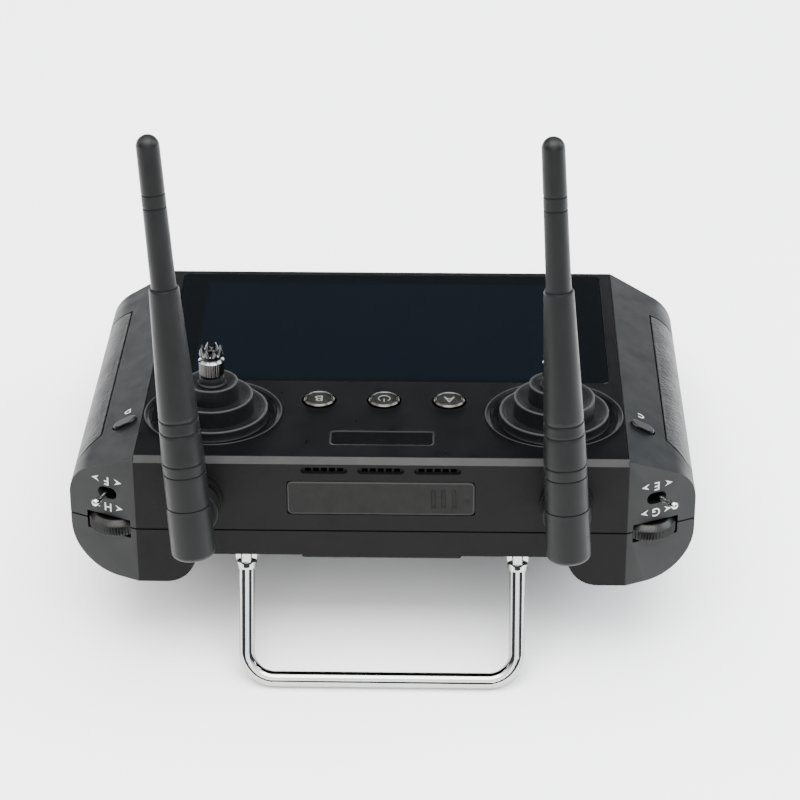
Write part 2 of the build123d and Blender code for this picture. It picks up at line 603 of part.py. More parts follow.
def make_stick(name, side):
    place = Pos(side * STICK_X, STICK_Y, 0)
    base = box(-BASE_HALF, BASE_HALF, -BASE_HALF, BASE_HALF, BASE_FLOOR_Z, -PLATE_THICK)
    base -= box(-BASE_HALF + BASE_WALL, BASE_HALF - BASE_WALL, -BASE_HALF + BASE_WALL, BASE_HALF - BASE_WALL,
                BASE_FLOOR_Z + BASE_FLOOR, 5)
    base -= rod_x(AXLE_R + RUNNING, -BIG, BIG, 0, STICK_PIVOT_Z)
    pieces[f"gimbal_base_{name}"] = place * base

    low, high = STICK_PIVOT_Z - YOKE_THICK / 2, STICK_PIVOT_Z + YOKE_THICK / 2
    inner = YOKE_HALF - YOKE_WALL
    yoke = rounded_plate(-YOKE_HALF, YOKE_HALF, -YOKE_HALF, YOKE_HALF, low, high, YOKE_CORNER)
    yoke -= box(-inner, inner, -inner, inner, -BIG, 5)
    yoke -= rod_y(AXLE_R + RUNNING, -BIG, BIG, 0, STICK_PIVOT_Z)
    reach = BASE_HALF - 0.5
    for end in (-1, 1):
        yoke += rod_x(AXLE_R, *sorted((end * (YOKE_HALF - 1), end * reach)), 0, STICK_PIVOT_Z)
    pieces[f"gimbal_yoke_{name}"] = place * yoke

    shaft = rod_z(SHAFT_R, STICK_PIVOT_Z, KNOB_BASE_Z, 0, 0)
    shaft += rod_y(HUB_R, -HUB_HALF, HUB_HALF, 0, STICK_PIVOT_Z)
    shaft += rod_z(KNOB_BORE_R, KNOB_BASE_Z, KNOB_TOP_Z - 3.5, 0, 0)
    shaft += rod_y(AXLE_R, -YOKE_HALF + 0.3, YOKE_HALF - 0.3, 0, STICK_PIVOT_Z)
    pieces[f"stick_shaft_{name}"] = place * shaft

    waist = KNOB_WAIST_Z
    neck_r = KNOB_R - 0.9
    cup_z = KNOB_TOP_Z - 2.4
    section = [(0, KNOB_BASE_Z), (KNOB_R - 0.5, KNOB_BASE_Z), (KNOB_R, KNOB_BASE_Z + 0.5)]
    section += [(KNOB_R, waist - 0.8), (neck_r, waist), (neck_r, waist + 0.3), (KNOB_R - 0.2, waist + 1.3)]
    section += [(KNOB_R - 0.2, KNOB_TOP_Z - 1.4), (neck_r, KNOB_TOP_Z), (KNOB_R - 1.7, KNOB_TOP_Z)]
    section += [(KNOB_R - 2.0, cup_z), (0, cup_z)]
    knob = revolve(Plane.XZ * outline(section), Axis.Z) - rod_z(KNOB_BORE_R, 0, KNOB_TOP_Z - 3.5, 0, 0)
    for k in range(KNOB_PRONGS):
        gap = box(KNOB_R - 2.2, KNOB_R + 1, -0.5, 0.5, KNOB_TOP_Z - 2.2, KNOB_TOP_Z + 1)
        knob -= Rot(0, 0, (k + 0.5) * 360 / KNOB_PRONGS) * gap
    pieces[f"stick_knob_{name}"] = place * knob

    outside = boot_outline(0)
    inside = boot_outline(BOOT_WALL)
    inside[-1] = (SHAFT_R, BOOT_TOP)
    inside[-2] = (SHAFT_R, BOOT_TOP - 2.2)
    boot = revolve(Plane.XZ * outline(outside + inside[::-1]), Axis.Z)
    flange = rod_z(BOOT_FLANGE_R, -RECESS_DEPTH, -RECESS_DEPTH + BOOT_FLANGE, 0, 0)
    boot += flange - rod_z(BOOT_FLANGE_R - 2.6, -5, 5, 0, 0)
    pieces[f"stick_boot_{name}"] = place * boot

    ring = rod_z(BEZEL_OUTER_R, 0, BEZEL_RISE, 0, 0) + rod_z(BEZEL_RECESS_R - 0.05, -RECESS_DEPTH, 0, 0, 0)
    ring -= rod_z(BEZEL_RECESS_R - 0.05 - BEZEL_WALL, -5, 5, 0, 0)
    pieces[f"stick_bezel_{name}"] = place * ring


# ---------------------------------------------------------------- near face pieces
def make_near_face():
    back_y = DOOR_THICK - DOOR_GAP
    flap = along_y(door_outline(0, DOOR_CORNER), -DOOR_PROUD, back_y)
    hinge_x = -DOOR_HALF + DOOR_HINGE_R
    flap -= box(-BIG, hinge_x, -BIG, BIG, -BIG, BIG)
    flap += rod_z(DOOR_HINGE_R, DOOR_BOTTOM_Z + DOOR_CORNER, DOOR_TOP_Z - DOOR_CORNER, hinge_x,
                  back_y - DOOR_HINGE_R)
    groove_half = DOOR_GROOVE_WIDE / 2
    for x in DOOR_GROOVES:
        flap -= box(x - groove_half, x + groove_half, -1, DOOR_GROOVE_DEEP,
                    DOOR_MIDDLE_Z - DOOR_GROOVE_TALL / 2, DOOR_MIDDLE_Z + DOOR_GROOVE_TALL / 2)
    pieces["port_door"] = flap

    block = box(-DOOR_HALF + 2, DOOR_HALF - 4, WALL, WALL + PORT_DEEP, DOOR_BOTTOM_Z + 1.5, DOOR_TOP_Z - 1.5)
    for x, wide, tall in PORTS:
        cut = slot_solid(wide - 0.4, tall - 0.4, -WALL - PORT_DEEP + 1.5, 0)
        tongue = slot_solid(wide - 3.4, 0.8, -WALL - PORT_DEEP + 1, -WALL - 0.8)
        block -= Pos(x, 0, DOOR_MIDDLE_Z) * Rot(90, 0, 0) * cut
        block += Pos(x, 0, DOOR_MIDDLE_Z) * Rot(90, 0, 0) * tongue
    pieces["port_block"] = block

    mesh_y = PLATE_NEAR + PLATE_LEDGE
    mesh_half = VENT_PITCH + VENT_LONG / 2
    pieces["vent_mesh"] = box(-mesh_half, mesh_half, mesh_y, mesh_y + 0.6, VENT_Z - 1.6, -PLATE_THICK)


def make_pads():
    skin = case_block() - case_block(PAD_THICK - PAD_GLUE)
    pad = pad_region(0) & skin
    for name, side in SIDES.items():
        pieces[f"grip_{name}"] = mirrored(pad, side)


# ---------------------------------------------------------------- end-face controls
def make_end_controls():
    face = end_face(TOGGLE_Z)
    inside = -WALL
    housing = box(-TOGGLE_BODY_HALF, TOGGLE_BODY_HALF, -TOGGLE_BODY_TALL, TOGGLE_BODY_TALL,
                  inside - TOGGLE_BODY_DEEP, inside)
    housing -= slot_solid(TOGGLE_SLOT_LONG, TOGGLE_SLOT_TALL, inside - 6, 5)
    housing -= rod_y(TOGGLE_PIN_R + RUNNING, -BIG, BIG, 0, -TOGGLE_PIVOT_DEPTH)
    lever = rod_z(TOGGLE_R, -TOGGLE_PIVOT_DEPTH, TOGGLE_REACH, 0, 0)
    lever += Pos(0, 0, TOGGLE_REACH) * Sphere(TOGGLE_BALL_R)
    lever += Pos(0, 0, -TOGGLE_PIVOT_DEPTH) * Sphere(TOGGLE_SLOT_TALL / 2 - RUNNING)
    lever += rod_y(TOGGLE_PIN_R, -TOGGLE_PIN_HALF, TOGGLE_PIN_HALF, 0, -TOGGLE_PIVOT_DEPTH)

    dial_x, dial_y = dial_centre()
    low, high = DIAL_Z - DIAL_THICK / 2, DIAL_Z + DIAL_THICK / 2
    wheel = rod_z(DIAL_R, low, high, dial_x, dial_y)
    rims = [e for e in wheel.edges() if e.geom_type == GeomType.CIRCLE]
    wheel = chamfer(rims, 0.8)
    wheel -= rod_z(DIAL_AXLE_R + RUNNING, -BIG, BIG, dial_x, dial_y)
    dish = rod_z(DIAL_R - 3.0, high - 0.7, BIG, dial_x, dial_y)
    wheel -= dish - rod_z(DIAL_AXLE_R + 1.4, -BIG, BIG, dial_x, dial_y)
    pot = on(end_face(DIAL_Z), box(-POT_DEEP / 2, POT_DEEP / 2, POT_LOW_Z - DIAL_Z, -DIAL_THICK / 2 - 0.4,
                                   -WALL - POT_DEEP - 0.3, -WALL - 0.3))
    pot += rod_z(DIAL_AXLE_R, low - 1, high + 0.6, dial_x, dial_y)
    for name, side in SIDES.items():
        pieces[f"toggle_body_{name}"] = mirrored(on(face, housing), side)
        pivot = Pos(0, 0, -TOGGLE_PIVOT_DEPTH)
        leaning = pivot * Rot(0, TOGGLE_REST[name], 0) * pivot.inverse() * lever
        pieces[f"toggle_lever_{name}"] = mirrored(on(face, leaning), side)
        pieces[f"dial_wheel_{name}"] = mirrored(wheel, side)
        pieces[f"dial_pot_{name}"] = mirrored(pot, side)


# ---------------------------------------------------------------- antennas
def groove_ring(s, radius):
    """Ring to cut out of the antenna at a distance from its bottom."""
    z = s - BARREL_BELOW
    ring = rod_z(radius + 2, z - GROOVE_WIDE / 2, z + GROOVE_WIDE / 2, 0, 0)
    return ring - rod_z(radius - GROOVE_DEPTH, -BIG, BIG, 0, 0)


def frustum(r0, r1, s0, s1):
    """Tapered stretch of the antenna between two distances from its bottom."""
    return Pos(0, 0, (s0 + s1) / 2 - BARREL_BELOW) * Cone(r0, r1, s1 - s0)


def make_antenna(name, side):
    """Local frame: the pivot, +Z up the antenna, +Y towards the case."""
    swivel = Pos(side * ANTENNA_X, 0, ANTENNA_Z) * Rot(0, LEAN_SIDE[name], 0)
    hinge = swivel * Pos(0, ANTENNA_Y, 0) * Rot(-LEAN_BACK, 0, 0)

    collar = rod_y(COLLAR_R, COLLAR_FACE_Y, -BOSS_REACH - 0.2, 0, 0)
    collar += rod_y(SPINDLE_R, COLLAR_FACE_Y, WALL + 1.3, 0, 0)
    collar += rod_y(SPINDLE_R + 1.5, WALL + 0.2, WALL + 1.3, 0, 0)
    tongue = rod_x(TONGUE_R, -TONGUE_HALF, TONGUE_HALF, ANTENNA_Y, 0)
    tongue += box(-TONGUE_HALF, TONGUE_HALF, ANTENNA_Y, COLLAR_FACE_Y, -2.6, 2.6)
    collar += tongue - rod_x(PIN_R + RUNNING, -BIG, BIG, ANTENNA_Y, 0)
    pieces[f"antenna_collar_{name}"] = swivel * collar

    barrel = rod_z(BARREL_R, -BARREL_BELOW, BARREL_LONG - BARREL_BELOW, 0, 0)
    foot = [e for e in barrel.edges() if e.geom_type == GeomType.CIRCLE and e.center().Z < 0]
    barrel = fillet(foot, 1.8)
    heel = box(-BIG, BIG, 0, BIG, -BIG, 0) - rod_x(BARREL_BELOW, -BIG, BIG, 0, 0)
    slot_half = TONGUE_HALF + 0.15
    slot = rod_x(TONGUE_R + 0.3, -slot_half, slot_half, 0, 0)
    slot += box(-slot_half, slot_half, 0, BIG, -BIG, 3.6)
    slot += box(-slot_half, slot_half, -3.6, 0, -BIG, 0)
    barrel = barrel - heel - slot + rod_x(PIN_R, -BARREL_R + 0.4, BARREL_R - 0.4, 0, 0)
    pieces[f"antenna_barrel_{name}"] = hinge * barrel

    sleeve = frustum(SLEEVE_R, SLEEVE_TOP_R, SLEEVE_TAPER, SLEEVE_TOP)
    sleeve += rod_z(SLEEVE_R, BARREL_LONG - BARREL_BELOW, SLEEVE_TAPER - BARREL_BELOW, 0, 0)
    slope = (SLEEVE_R - SLEEVE_TOP_R) / (SLEEVE_TOP - SLEEVE_TAPER)
    for s in SLEEVE_GROOVES:
        sleeve -= groove_ring(s, SLEEVE_R - slope * max(0.0, s - SLEEVE_TAPER))
    pieces[f"antenna_sleeve_{name}"] = hinge * sleeve

    dome_s = ANTENNA_LONG - TIP_TOP_R
    tip = frustum(TIP_R, TIP_TOP_R, SLEEVE_TOP, dome_s) + Pos(0, 0, dome_s - BARREL_BELOW) * Sphere(TIP_TOP_R)
    for s in TIP_GROOVES:
        tip -= groove_ring(s, TIP_R - (TIP_R - TIP_TOP_R) * (s - SLEEVE_TOP) / (dome_s - SLEEVE_TOP))
    pieces[f"antenna_tip_{name}"] = hinge * tip


# ---------------------------------------------------------------- handle
def handle_bar():
    """Bar centre in (Y, Z) when the handle is folded out."""
    drop = math.radians(HANDLE_DROP)
    return HANDLE_PIVOT_Y - HANDLE_LONG * math.cos(drop), HANDLE_PIVOT_Z - HANDLE_LONG * math.sin(drop)


def make_handle():
    path = FilletPolyline((-HANDLE_X, 0), (-HANDLE_X, -HANDLE_LONG), (HANDLE_X, -HANDLE_LONG), (HANDLE_X, 0),
                          radius=HANDLE_CORNER)
    start = Plane(origin=(-HANDLE_X, 0, 0), z_dir=(0, -1, 0))
    bail = sweep(start * Circle(HANDLE_ROD_R), path=path)
    for side in SIDES.values():
        x = side * HANDLE_X
        bail -= box(x - BRACKET_HALF, x + BRACKET_HALF, -FERRULE_START, BIG, -BIG, BIG)
        ferrule = Rot(90, 0, 0) * Cone(FERRULE_R, FERRULE_END_R, FERRULE_LONG)
        bail += Pos(x, -FERRULE_START - FERRULE_LONG / 2, 0) * ferrule
        bail += rod_x(EYE_R, x - EYE_HALF, x + EYE_HALF, 0, 0)
        bail += box(x - EYE_HALF, x + EYE_HALF, -FERRULE_START - 0.1, 0, -EYE_R, EYE_R)
        bail -= rod_x(PIN_R + RUNNING, x - 10, x + 10, 0, 0)
    pivot = Pos(0, HANDLE_PIVOT_Y, HANDLE_PIVOT_Z)
    pieces["handle"] = pivot * Rot(HANDLE_DROP, 0, 0) * bail

    brackets = []
    pins = []
    ear_in = EYE_HALF + EAR_GAP
    ear_out = ear_in + EAR_THICK
    for side in SIDES.values():
        x = side * HANDLE_X
        foot = box(x - BRACKET_HALF, x + BRACKET_HALF, HANDLE_PIVOT_Y - BRACKET_NEAR,
                   HANDLE_PIVOT_Y + BRACKET_FAR, BELLY_Z - BRACKET_BASE, BELLY_Z)
        for end in (-1, 1):
            ear_x = sorted((x + end * ear_in, x + end * ear_out))
            ear = rod_x(EYE_R, *ear_x, HANDLE_PIVOT_Y, HANDLE_PIVOT_Z)
            ear += box(*ear_x, HANDLE_PIVOT_Y - EYE_R, HANDLE_PIVOT_Y + EYE_R, HANDLE_PIVOT_Z, BELLY_Z)
            foot += ear
        brackets.append(foot - rod_x(PIN_R + 0.02, x - 12, x + 12, HANDLE_PIVOT_Y, HANDLE_PIVOT_Z))
        pin_end = ear_out + PIN_HEAD
        pins.append(rod_x(PIN_R, x - pin_end, x + pin_end, HANDLE_PIVOT_Y, HANDLE_PIVOT_Z))
    pieces["handle_brackets"] = brackets
    pieces["handle_pins"] = pins


# ---------------------------------------------------------------- underside and inside
def make_underside():
    low = BELLY_Z - BACK_PLATE_DROP
    cover = box(-BACK_PLATE_HALF, BACK_PLATE_HALF, BACK_PLATE_NEAR, BACK_PLATE_FAR, low, BELLY_Z)
    rims = [e for e in cover.edges() if abs(e.center().Z - low) < 0.01]
    pieces["back_plate"] = chamfer(rims, BACK_PLATE_CHAMFER)
    floor = BELLY_Z + WALL
    pieces["battery_pack"] = box(-BATTERY_HALF, BATTERY_HALF, BATTERY_NEAR, BATTERY_FAR, floor,
                                 floor + BATTERY_TALL)
    screws = []
    for side in SIDES.values():
        for spot in PILLARS:
            seat = SCREW_SEAT_Z[spot]
            screw = rod_z(SCREW_HEAD_R, seat - SCREW_HEAD, seat, side * spot[0], spot[1])
            screw += rod_z(SCREW_R, seat, SCREW_TIP_Z, side * spot[0], spot[1])
            screw -= box(side * spot[0] - 1.8, side * spot[0] + 1.8, spot[1] - 0.3, spot[1] + 0.3, -BIG,
                         seat - SCREW_HEAD + 0.7)
            screws.append(screw)
    pieces["case_screws"] = screws


# ---------------------------------------------------------------- standing
def stand_tilt():
    """Angle of the table seen from the body: the common lower tangent of the bar and the heel."""
    bar_y, bar_z = handle_bar()
    run = CASE_DEPTH - HEEL_ROUND - bar_y
    rise = GRIP_Z + HEEL_ROUND - bar_z
    lift = math.asin((HEEL_ROUND - HANDLE_ROD_R) / math.hypot(run, rise))
    return math.degrees(math.atan2(rise, run) - lift)


def solids_of(shape):
    return list(shape) if isinstance(shape, list) else [shape]


make_shells()
make_deck()
make_keys()
for side_name, side_sign in SIDES.items():
    make_stick(side_name, side_sign)
    make_antenna(side_name, side_sign)
make_near_face()
make_pads()
make_end_controls()
make_handle()
make_underside()

tilt = Rot(-stand_tilt(), 0, 0)
standing = {name: [tilt * s for s in solids_of(shape)] for name, shape in pieces.items()}
boxes = [s.bounding_box() for shapes in standing.values() for s in shapes]
shift = Pos(-(min(b.min.X for b in boxes) + max(b.max.X for b in boxes)) / 2,
            -(min(b.min.Y for b in boxes) + max(b.max.Y for b in boxes)) / 2,
            -min(b.min.Z for b in boxes))
print("tilt", stand_tilt(), "shift", shift.position)

os.makedirs("parts", exist_ok=True)
for name, shapes in standing.items():
    solids = [solid for s in shapes for solid in (shift * s).solids()]
    export_step(solids[0] if len(solids) == 1 else Compound(children=solids), f"parts/{name}.step")
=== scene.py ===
"""Looks of the radio transmitter controller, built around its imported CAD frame.

Shapes are drawn in the body frame in millimetres: +X right, +Y towards the pilot, +Z out of the top face,
with the origin at the middle of the top face's near edge. BODY takes them to the row frame in metres.
"""
import bmesh
import bpy
import json
import math
from mathutils import Matrix, Vector
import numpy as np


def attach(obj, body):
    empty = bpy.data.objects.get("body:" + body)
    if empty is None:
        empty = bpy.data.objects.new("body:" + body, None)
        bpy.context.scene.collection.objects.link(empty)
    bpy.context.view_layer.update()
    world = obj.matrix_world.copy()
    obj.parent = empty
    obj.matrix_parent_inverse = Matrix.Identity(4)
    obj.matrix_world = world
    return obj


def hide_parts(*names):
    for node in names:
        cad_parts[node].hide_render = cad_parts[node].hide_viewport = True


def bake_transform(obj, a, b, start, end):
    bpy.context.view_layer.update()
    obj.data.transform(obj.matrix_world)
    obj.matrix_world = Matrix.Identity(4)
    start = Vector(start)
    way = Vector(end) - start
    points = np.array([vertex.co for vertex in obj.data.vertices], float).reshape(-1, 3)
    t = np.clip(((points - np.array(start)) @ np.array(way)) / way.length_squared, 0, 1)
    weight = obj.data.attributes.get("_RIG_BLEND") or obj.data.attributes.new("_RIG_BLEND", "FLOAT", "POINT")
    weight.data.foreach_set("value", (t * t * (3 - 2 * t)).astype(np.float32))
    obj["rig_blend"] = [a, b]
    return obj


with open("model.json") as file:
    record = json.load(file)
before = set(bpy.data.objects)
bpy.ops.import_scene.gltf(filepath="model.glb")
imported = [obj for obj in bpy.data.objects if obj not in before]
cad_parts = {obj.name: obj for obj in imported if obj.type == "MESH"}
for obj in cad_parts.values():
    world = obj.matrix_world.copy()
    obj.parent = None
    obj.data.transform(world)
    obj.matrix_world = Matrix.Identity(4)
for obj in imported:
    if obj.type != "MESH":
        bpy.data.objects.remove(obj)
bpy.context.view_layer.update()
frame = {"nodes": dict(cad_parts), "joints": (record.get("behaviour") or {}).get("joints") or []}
nodes = frame["nodes"]
joints = {j["name"]: j for j in frame["joints"]}
MM = 0.001
SIDES = ("left", "right")

# ---------------------------------------------------------------- body frame
X_BODY = Vector(joints["handle_fold"]["axis"])
Z_BODY = -Vector(joints["button_power_press"]["axis"])
Y_BODY = Z_BODY.cross(X_BODY)


def reach(node, axis):
    """Lowest and highest distance of a node's points along an axis, in metres."""
    along = [v.co.dot(axis) for v in nodes[node].data.vertices]
    return min(along), max(along)


ORIGIN = Y_BODY * reach("lower_shell", Y_BODY)[0] + Z_BODY * reach("face_plate", Z_BODY)[1]
TURN = Matrix((X_BODY, Y_BODY, Z_BODY)).transposed().to_4x4()
BODY = Matrix.Translation(ORIGIN) @ TURN @ Matrix.Scale(MM, 4)
TO_BODY = BODY.inverted()


def span(node):
    """Box of a node in the body frame, in millimetres: ((x0, x1), (y0, y1), (z0, z1))."""
    points = [TO_BODY @ v.co for v in nodes[node].data.vertices]
    return [(min(p[i] for p in points), max(p[i] for p in points)) for i in range(3)]


def centre(node):
    return Vector([(low + high) / 2 for low, high in span(node)])


def hinge_point(joint):
    return TO_BODY @ Vector(joints[joint]["pos_m"])


def hinge_axis(joint):
    return (TO_BODY.to_3x3() @ Vector(joints[joint]["axis"])).normalized()


def facing(origin, z_dir, x_dir):
    """Frame with +Z along z_dir and +X as near x_dir as it can be."""
    z = Vector(z_dir).normalized()
    y = z.cross(Vector(x_dir)).normalized()
    x = y.cross(z)
    return Matrix.Translation(Vector(origin)) @ Matrix((x, y, z)).transposed().to_4x4()


# ---------------------------------------------------------------- materials
def new_material(name):
    material = bpy.data.materials.new(name)
    material.use_nodes = True
    tree = material.node_tree
    return material, tree, tree.nodes["Principled BSDF"]


def noise(tree, size_mm, detail=3.0, roughness=0.55, kind="ShaderNodeTexNoise"):
    """Noise in object space whose features are about size_mm wide."""
    coords = tree.nodes.new("ShaderNodeTexCoord")
    texture = tree.nodes.new(kind)
    texture.inputs["Scale"].default_value = 1 / (size_mm * MM)
    if "Detail" in texture.inputs:
        texture.inputs["Detail"].default_value = detail
    if "Roughness" in texture.inputs:
        texture.inputs["Roughness"].default_value = roughness
    tree.links.new(coords.outputs["Object"], texture.inputs["Vector"])
    return texture


def spread(tree, source, low, high):
    """Map a 0.3 to 0.7 noise value onto low to high."""
    node = tree.nodes.new("ShaderNodeMapRange")
    node.inputs["From Min"].default_value = 0.3
    node.inputs["From Max"].default_value = 0.7
    node.inputs["To Min"].default_value = low
    node.inputs["To Max"].default_value = high
    tree.links.new(source, node.inputs["Value"])
    return node.outputs["Result"]


def mix_colours(tree, factor, a, b):
    """Mix two colours, each a value or a socket."""
    node = tree.nodes.new("ShaderNodeMix")
    node.data_type = "RGBA"
    tree.links.new(factor, node.inputs["Factor"])
    for socket, colour in ((node.inputs["A"], a), (node.inputs["B"], b)):
        if isinstance(colour, bpy.types.NodeSocket):
            tree.links.new(colour, socket)
        else:
            socket.default_value = (*colour, 1)
    return node.outputs["Result"]


def finish(name, colour, rough, mottle=(18, 0.08), grain=(0.35, 0.12), rough_spread=0.06, metallic=0.0,
           specular=0.5, painted_highlight_and_wear=None, cells=None):
    """Moulded, rubber or metal finish: mottled colour, uneven roughness, fine grain and lips painted lighter,
    a painted highlight.

    mottle is (size mm, share of colour) and grain is (size mm, strength). cells is a leather-like
    (size mm, strength). The last colour is the one that the mesh's own attribute brings in: a painted
    highlight on lips, rims and bevels, which on the boot rims also stands for wear.
    """
    material, tree, shader = new_material(name)
    size, share = mottle
    patches = noise(tree, size, 4)
    darker = [c * (1 - share) for c in colour]
    lighter = [c * (1 + share) for c in colour]
    tint = mix_colours(tree, spread(tree, patches.outputs["Fac"], 0, 1), darker, lighter)
    # lips, rims and bevels painted lighter: a painted highlight, which on the boot rims also stands for wear
    if painted_highlight_and_wear:
        highlight_share = tree.nodes.new("ShaderNodeAttribute")
        highlight_share.attribute_name = "painted_highlight_and_wear"
        tint = mix_colours(tree, highlight_share.outputs["Fac"], tint, painted_highlight_and_wear)
    tree.links.new(tint, shader.inputs["Base Color"])
    smudges = noise(tree, size * 0.4, 3)
    tree.links.new(spread(tree, smudges.outputs["Fac"], rough - rough_spread, rough + rough_spread),
                   shader.inputs["Roughness"])
    bump = tree.nodes.new("ShaderNodeBump")
    bump.inputs["Strength"].default_value = grain[1]
    bump.inputs["Distance"].default_value = grain[0] * 0.3 * MM
    tree.links.new(noise(tree, grain[0], 2).outputs["Fac"], bump.inputs["Height"])
    if cells:
        leather = tree.nodes.new("ShaderNodeBump")
        leather.inputs["Strength"].default_value = cells[1]
        leather.inputs["Distance"].default_value = cells[0] * 0.25 * MM
        pebbles = noise(tree, cells[0], kind="ShaderNodeTexVoronoi")
        pebbles.feature = "SMOOTH_F1"
        tree.links.new(pebbles.outputs["Distance"], leather.inputs["Height"])
        tree.links.new(leather.outputs["Normal"], bump.inputs["Normal"])
    tree.links.new(bump.outputs["Normal"], shader.inputs["Normal"])
    shader.inputs["Metallic"].default_value = metallic
    shader.inputs["Specular IOR Level"].default_value = specular
    return material


def screen_finish(name, low, high):
    """Black cover glass over a switched-off display: the picture area is a little bluer than its border."""
    material, tree, shader = new_material(name)
    coords = tree.nodes.new("ShaderNodeTexCoord")
    inside = None
    middle = BODY @ ((Vector(low) + Vector(high)) / 2)
    for axis, half in ((X_BODY, (high[0] - low[0]) / 2), (Y_BODY, (high[1] - low[1]) / 2)):
        shifted = tree.nodes.new("ShaderNodeVectorMath")
        shifted.operation = "SUBTRACT"
        shifted.inputs[1].default_value = middle
        tree.links.new(coords.outputs["Object"], shifted.inputs[0])
        along = tree.nodes.new("ShaderNodeVectorMath")
        along.operation = "DOT_PRODUCT"
        along.inputs[1].default_value = axis
        tree.links.new(shifted.outputs["Vector"], along.inputs[0])
        size = tree.nodes.new("ShaderNodeMath")
        size.operation = "ABSOLUTE"
        tree.links.new(along.outputs["Value"], size.inputs[0])
        within = tree.nodes.new("ShaderNodeMapRange")
        within.inputs["From Min"].default_value = (half + 0.15) * MM
        within.inputs["From Max"].default_value = (half - 0.15) * MM
        tree.links.new(size.outputs["Value"], within.inputs["Value"])
        if inside is None:
            inside = within.outputs["Result"]
        else:
            both = tree.nodes.new("ShaderNodeMath")
            both.operation = "MULTIPLY"
            tree.links.new(inside, both.inputs[0])
            tree.links.new(within.outputs["Result"], both.inputs[1])
            inside = both.outputs["Value"]
    tree.links.new(mix_colours(tree, inside, BORDER_BLACK, PICTURE_NAVY), shader.inputs["Base Color"])
    smears = noise(tree, 30, 5)
    tree.links.new(spread(tree, smears.outputs["Fac"], 0.05, 0.1), shader.inputs["Roughness"])
    shader.inputs["Specular IOR Level"].default_value = 0.36
    return material


BORDER_BLACK = (0.0009, 0.001, 0.0012)
PICTURE_NAVY = (0.001, 0.0017, 0.0032)
CASE = finish("case_plastic", (0.0045, 0.0044, 0.0043), 0.46, grain=(0.28, 0.35), specular=0.08)
WING = finish("wing_plastic", (0.003, 0.0037, 0.0043), 0.42, grain=(0.28, 0.35), specular=0.05)
# lighter copy of the case plastic for the end faces: painted light, where the side lamps fall
END_PAINTED_LIGHT = finish("end_plastic_painted_light", (0.0135, 0.0137, 0.014), 0.5, grain=(0.28, 0.35), specular=0.17)
DECK = finish("deck_plastic", (0.0016, 0.0017, 0.0018), 0.33, grain=(0.22, 0.25), specular=0.05)
# the lighter colour is a painted highlight on the bezel lips and the nameplate lip
BEZEL = finish("bezel_plastic", (0.0016, 0.0017, 0.0019), 0.33, grain=(0.2, 0.15), specular=0.08,
               painted_highlight_and_wear=(0.02, 0.021, 0.021))
# lighter copy for the near top bevel: a painted highlight
BEVEL = finish("bevel_edge_painted_highlight", (0.0115, 0.0115, 0.0113), 0.4, grain=(0.2, 0.1), specular=0.15)
RUBBER = finish("grip_rubber", (0.0042, 0.0045, 0.005), 0.42, grain=(0.3, 0.2), specular=0.14,
                cells=(1.15, 0.6))
# the lighter colour is a painted highlight along the flap's lip
DOOR = finish("door_rubber", (0.0068, 0.0066, 0.0063), 0.6, mottle=(5, 0.14), grain=(0.4, 0.3), specular=0.14,
              painted_highlight_and_wear=(0.026, 0.026, 0.0255))
# the lighter colour paints the tier rims: a painted highlight, and wear of the rubber
BOOT = finish("boot_rubber", (0.0032, 0.0034, 0.0037), 0.5, mottle=(4, 0.25), grain=(0.35, 0.3),
              specular=0.14, painted_highlight_and_wear=(0.024, 0.025, 0.0255))
ANTENNA = finish("antenna_rubber", (0.0055, 0.0056, 0.0058), 0.4, mottle=(12, 0.06), grain=(0.25, 0.15),
                 specular=0.16)
KEY = finish("key_plastic", (0.0035, 0.0034, 0.0033), 0.35, grain=(0.2, 0.2), specular=0.2)
SIDE_KEY = finish("side_key_plastic", (0.0028, 0.0029, 0.0031), 0.3, grain=(0.25, 0.1), specular=0.14)
RING = finish("key_metal", (0.05, 0.047, 0.043), 0.26, mottle=(12, 0.05), grain=(0.3, 0.02),
              rough_spread=0.015, metallic=1.0)
CHROME = finish("chrome", (0.42, 0.415, 0.405), 0.06, mottle=(10, 0.02), grain=(2.0, 0.02), rough_spread=0.02,
                metallic=1.0)
# the lighter colour is a painted highlight on the knob's waist bevel and crown rims
KNOB = finish("knob_metal", (0.042, 0.041, 0.04), 0.17, mottle=(8, 0.1), grain=(0.4, 0.02),
              rough_spread=0.03, metallic=1.0, painted_highlight_and_wear=(0.2, 0.2, 0.205))
# the lighter colour is a painted highlight on the wheel's top bevel
DIAL = finish("dial_plastic", (0.0034, 0.0033, 0.0032), 0.28, grain=(0.15, 0.15), specular=0.18,
              painted_highlight_and_wear=(0.01, 0.0095, 0.009))
STEEL = finish("plated_steel", (0.2, 0.2, 0.205), 0.3, grain=(0.2, 0.1), metallic=1.0)
INSIDE = finish("inside_plastic", (0.003, 0.003, 0.0032), 0.5, specular=0.1)
SOLDER_MASK = finish("board_green", (0.004, 0.024, 0.01), 0.35, specular=0.3)
WRAP = finish("battery_wrap", (0.01, 0.018, 0.05), 0.3, specular=0.3)
PRINT = finish("white_print", (0.45, 0.45, 0.45), 0.5, mottle=(1, 0.05), grain=(0.1, 0.1), specular=0.2)
KEY_PRINT = finish("key_print", (0.1, 0.1, 0.097), 0.45, mottle=(1, 0.08), grain=(0.1, 0.1), specular=0.2)
NAMEPLATE = finish("nameplate_gloss", (0.0014, 0.0014, 0.0016), 0.12, mottle=(6, 0.1), grain=(1.5, 0.03),
                   specular=0.3)

# ---------------------------------------------------------------- mesh making
def weigh_normals(obj):
    """Let large faces set the shading, so that a flat face looks flat beside its rounded edges."""
    weigh = obj.modifiers.new("normals", "WEIGHTED_NORMAL")
    weigh.mode = "FACE_AREA"
    weigh.weight = 100
    weigh.keep_sharp = True
    bpy.context.view_layer.update()
    obj.data = bpy.data.meshes.new_from_object(obj.evaluated_get(bpy.context.evaluated_depsgraph_get()))
    obj.modifiers.clear()


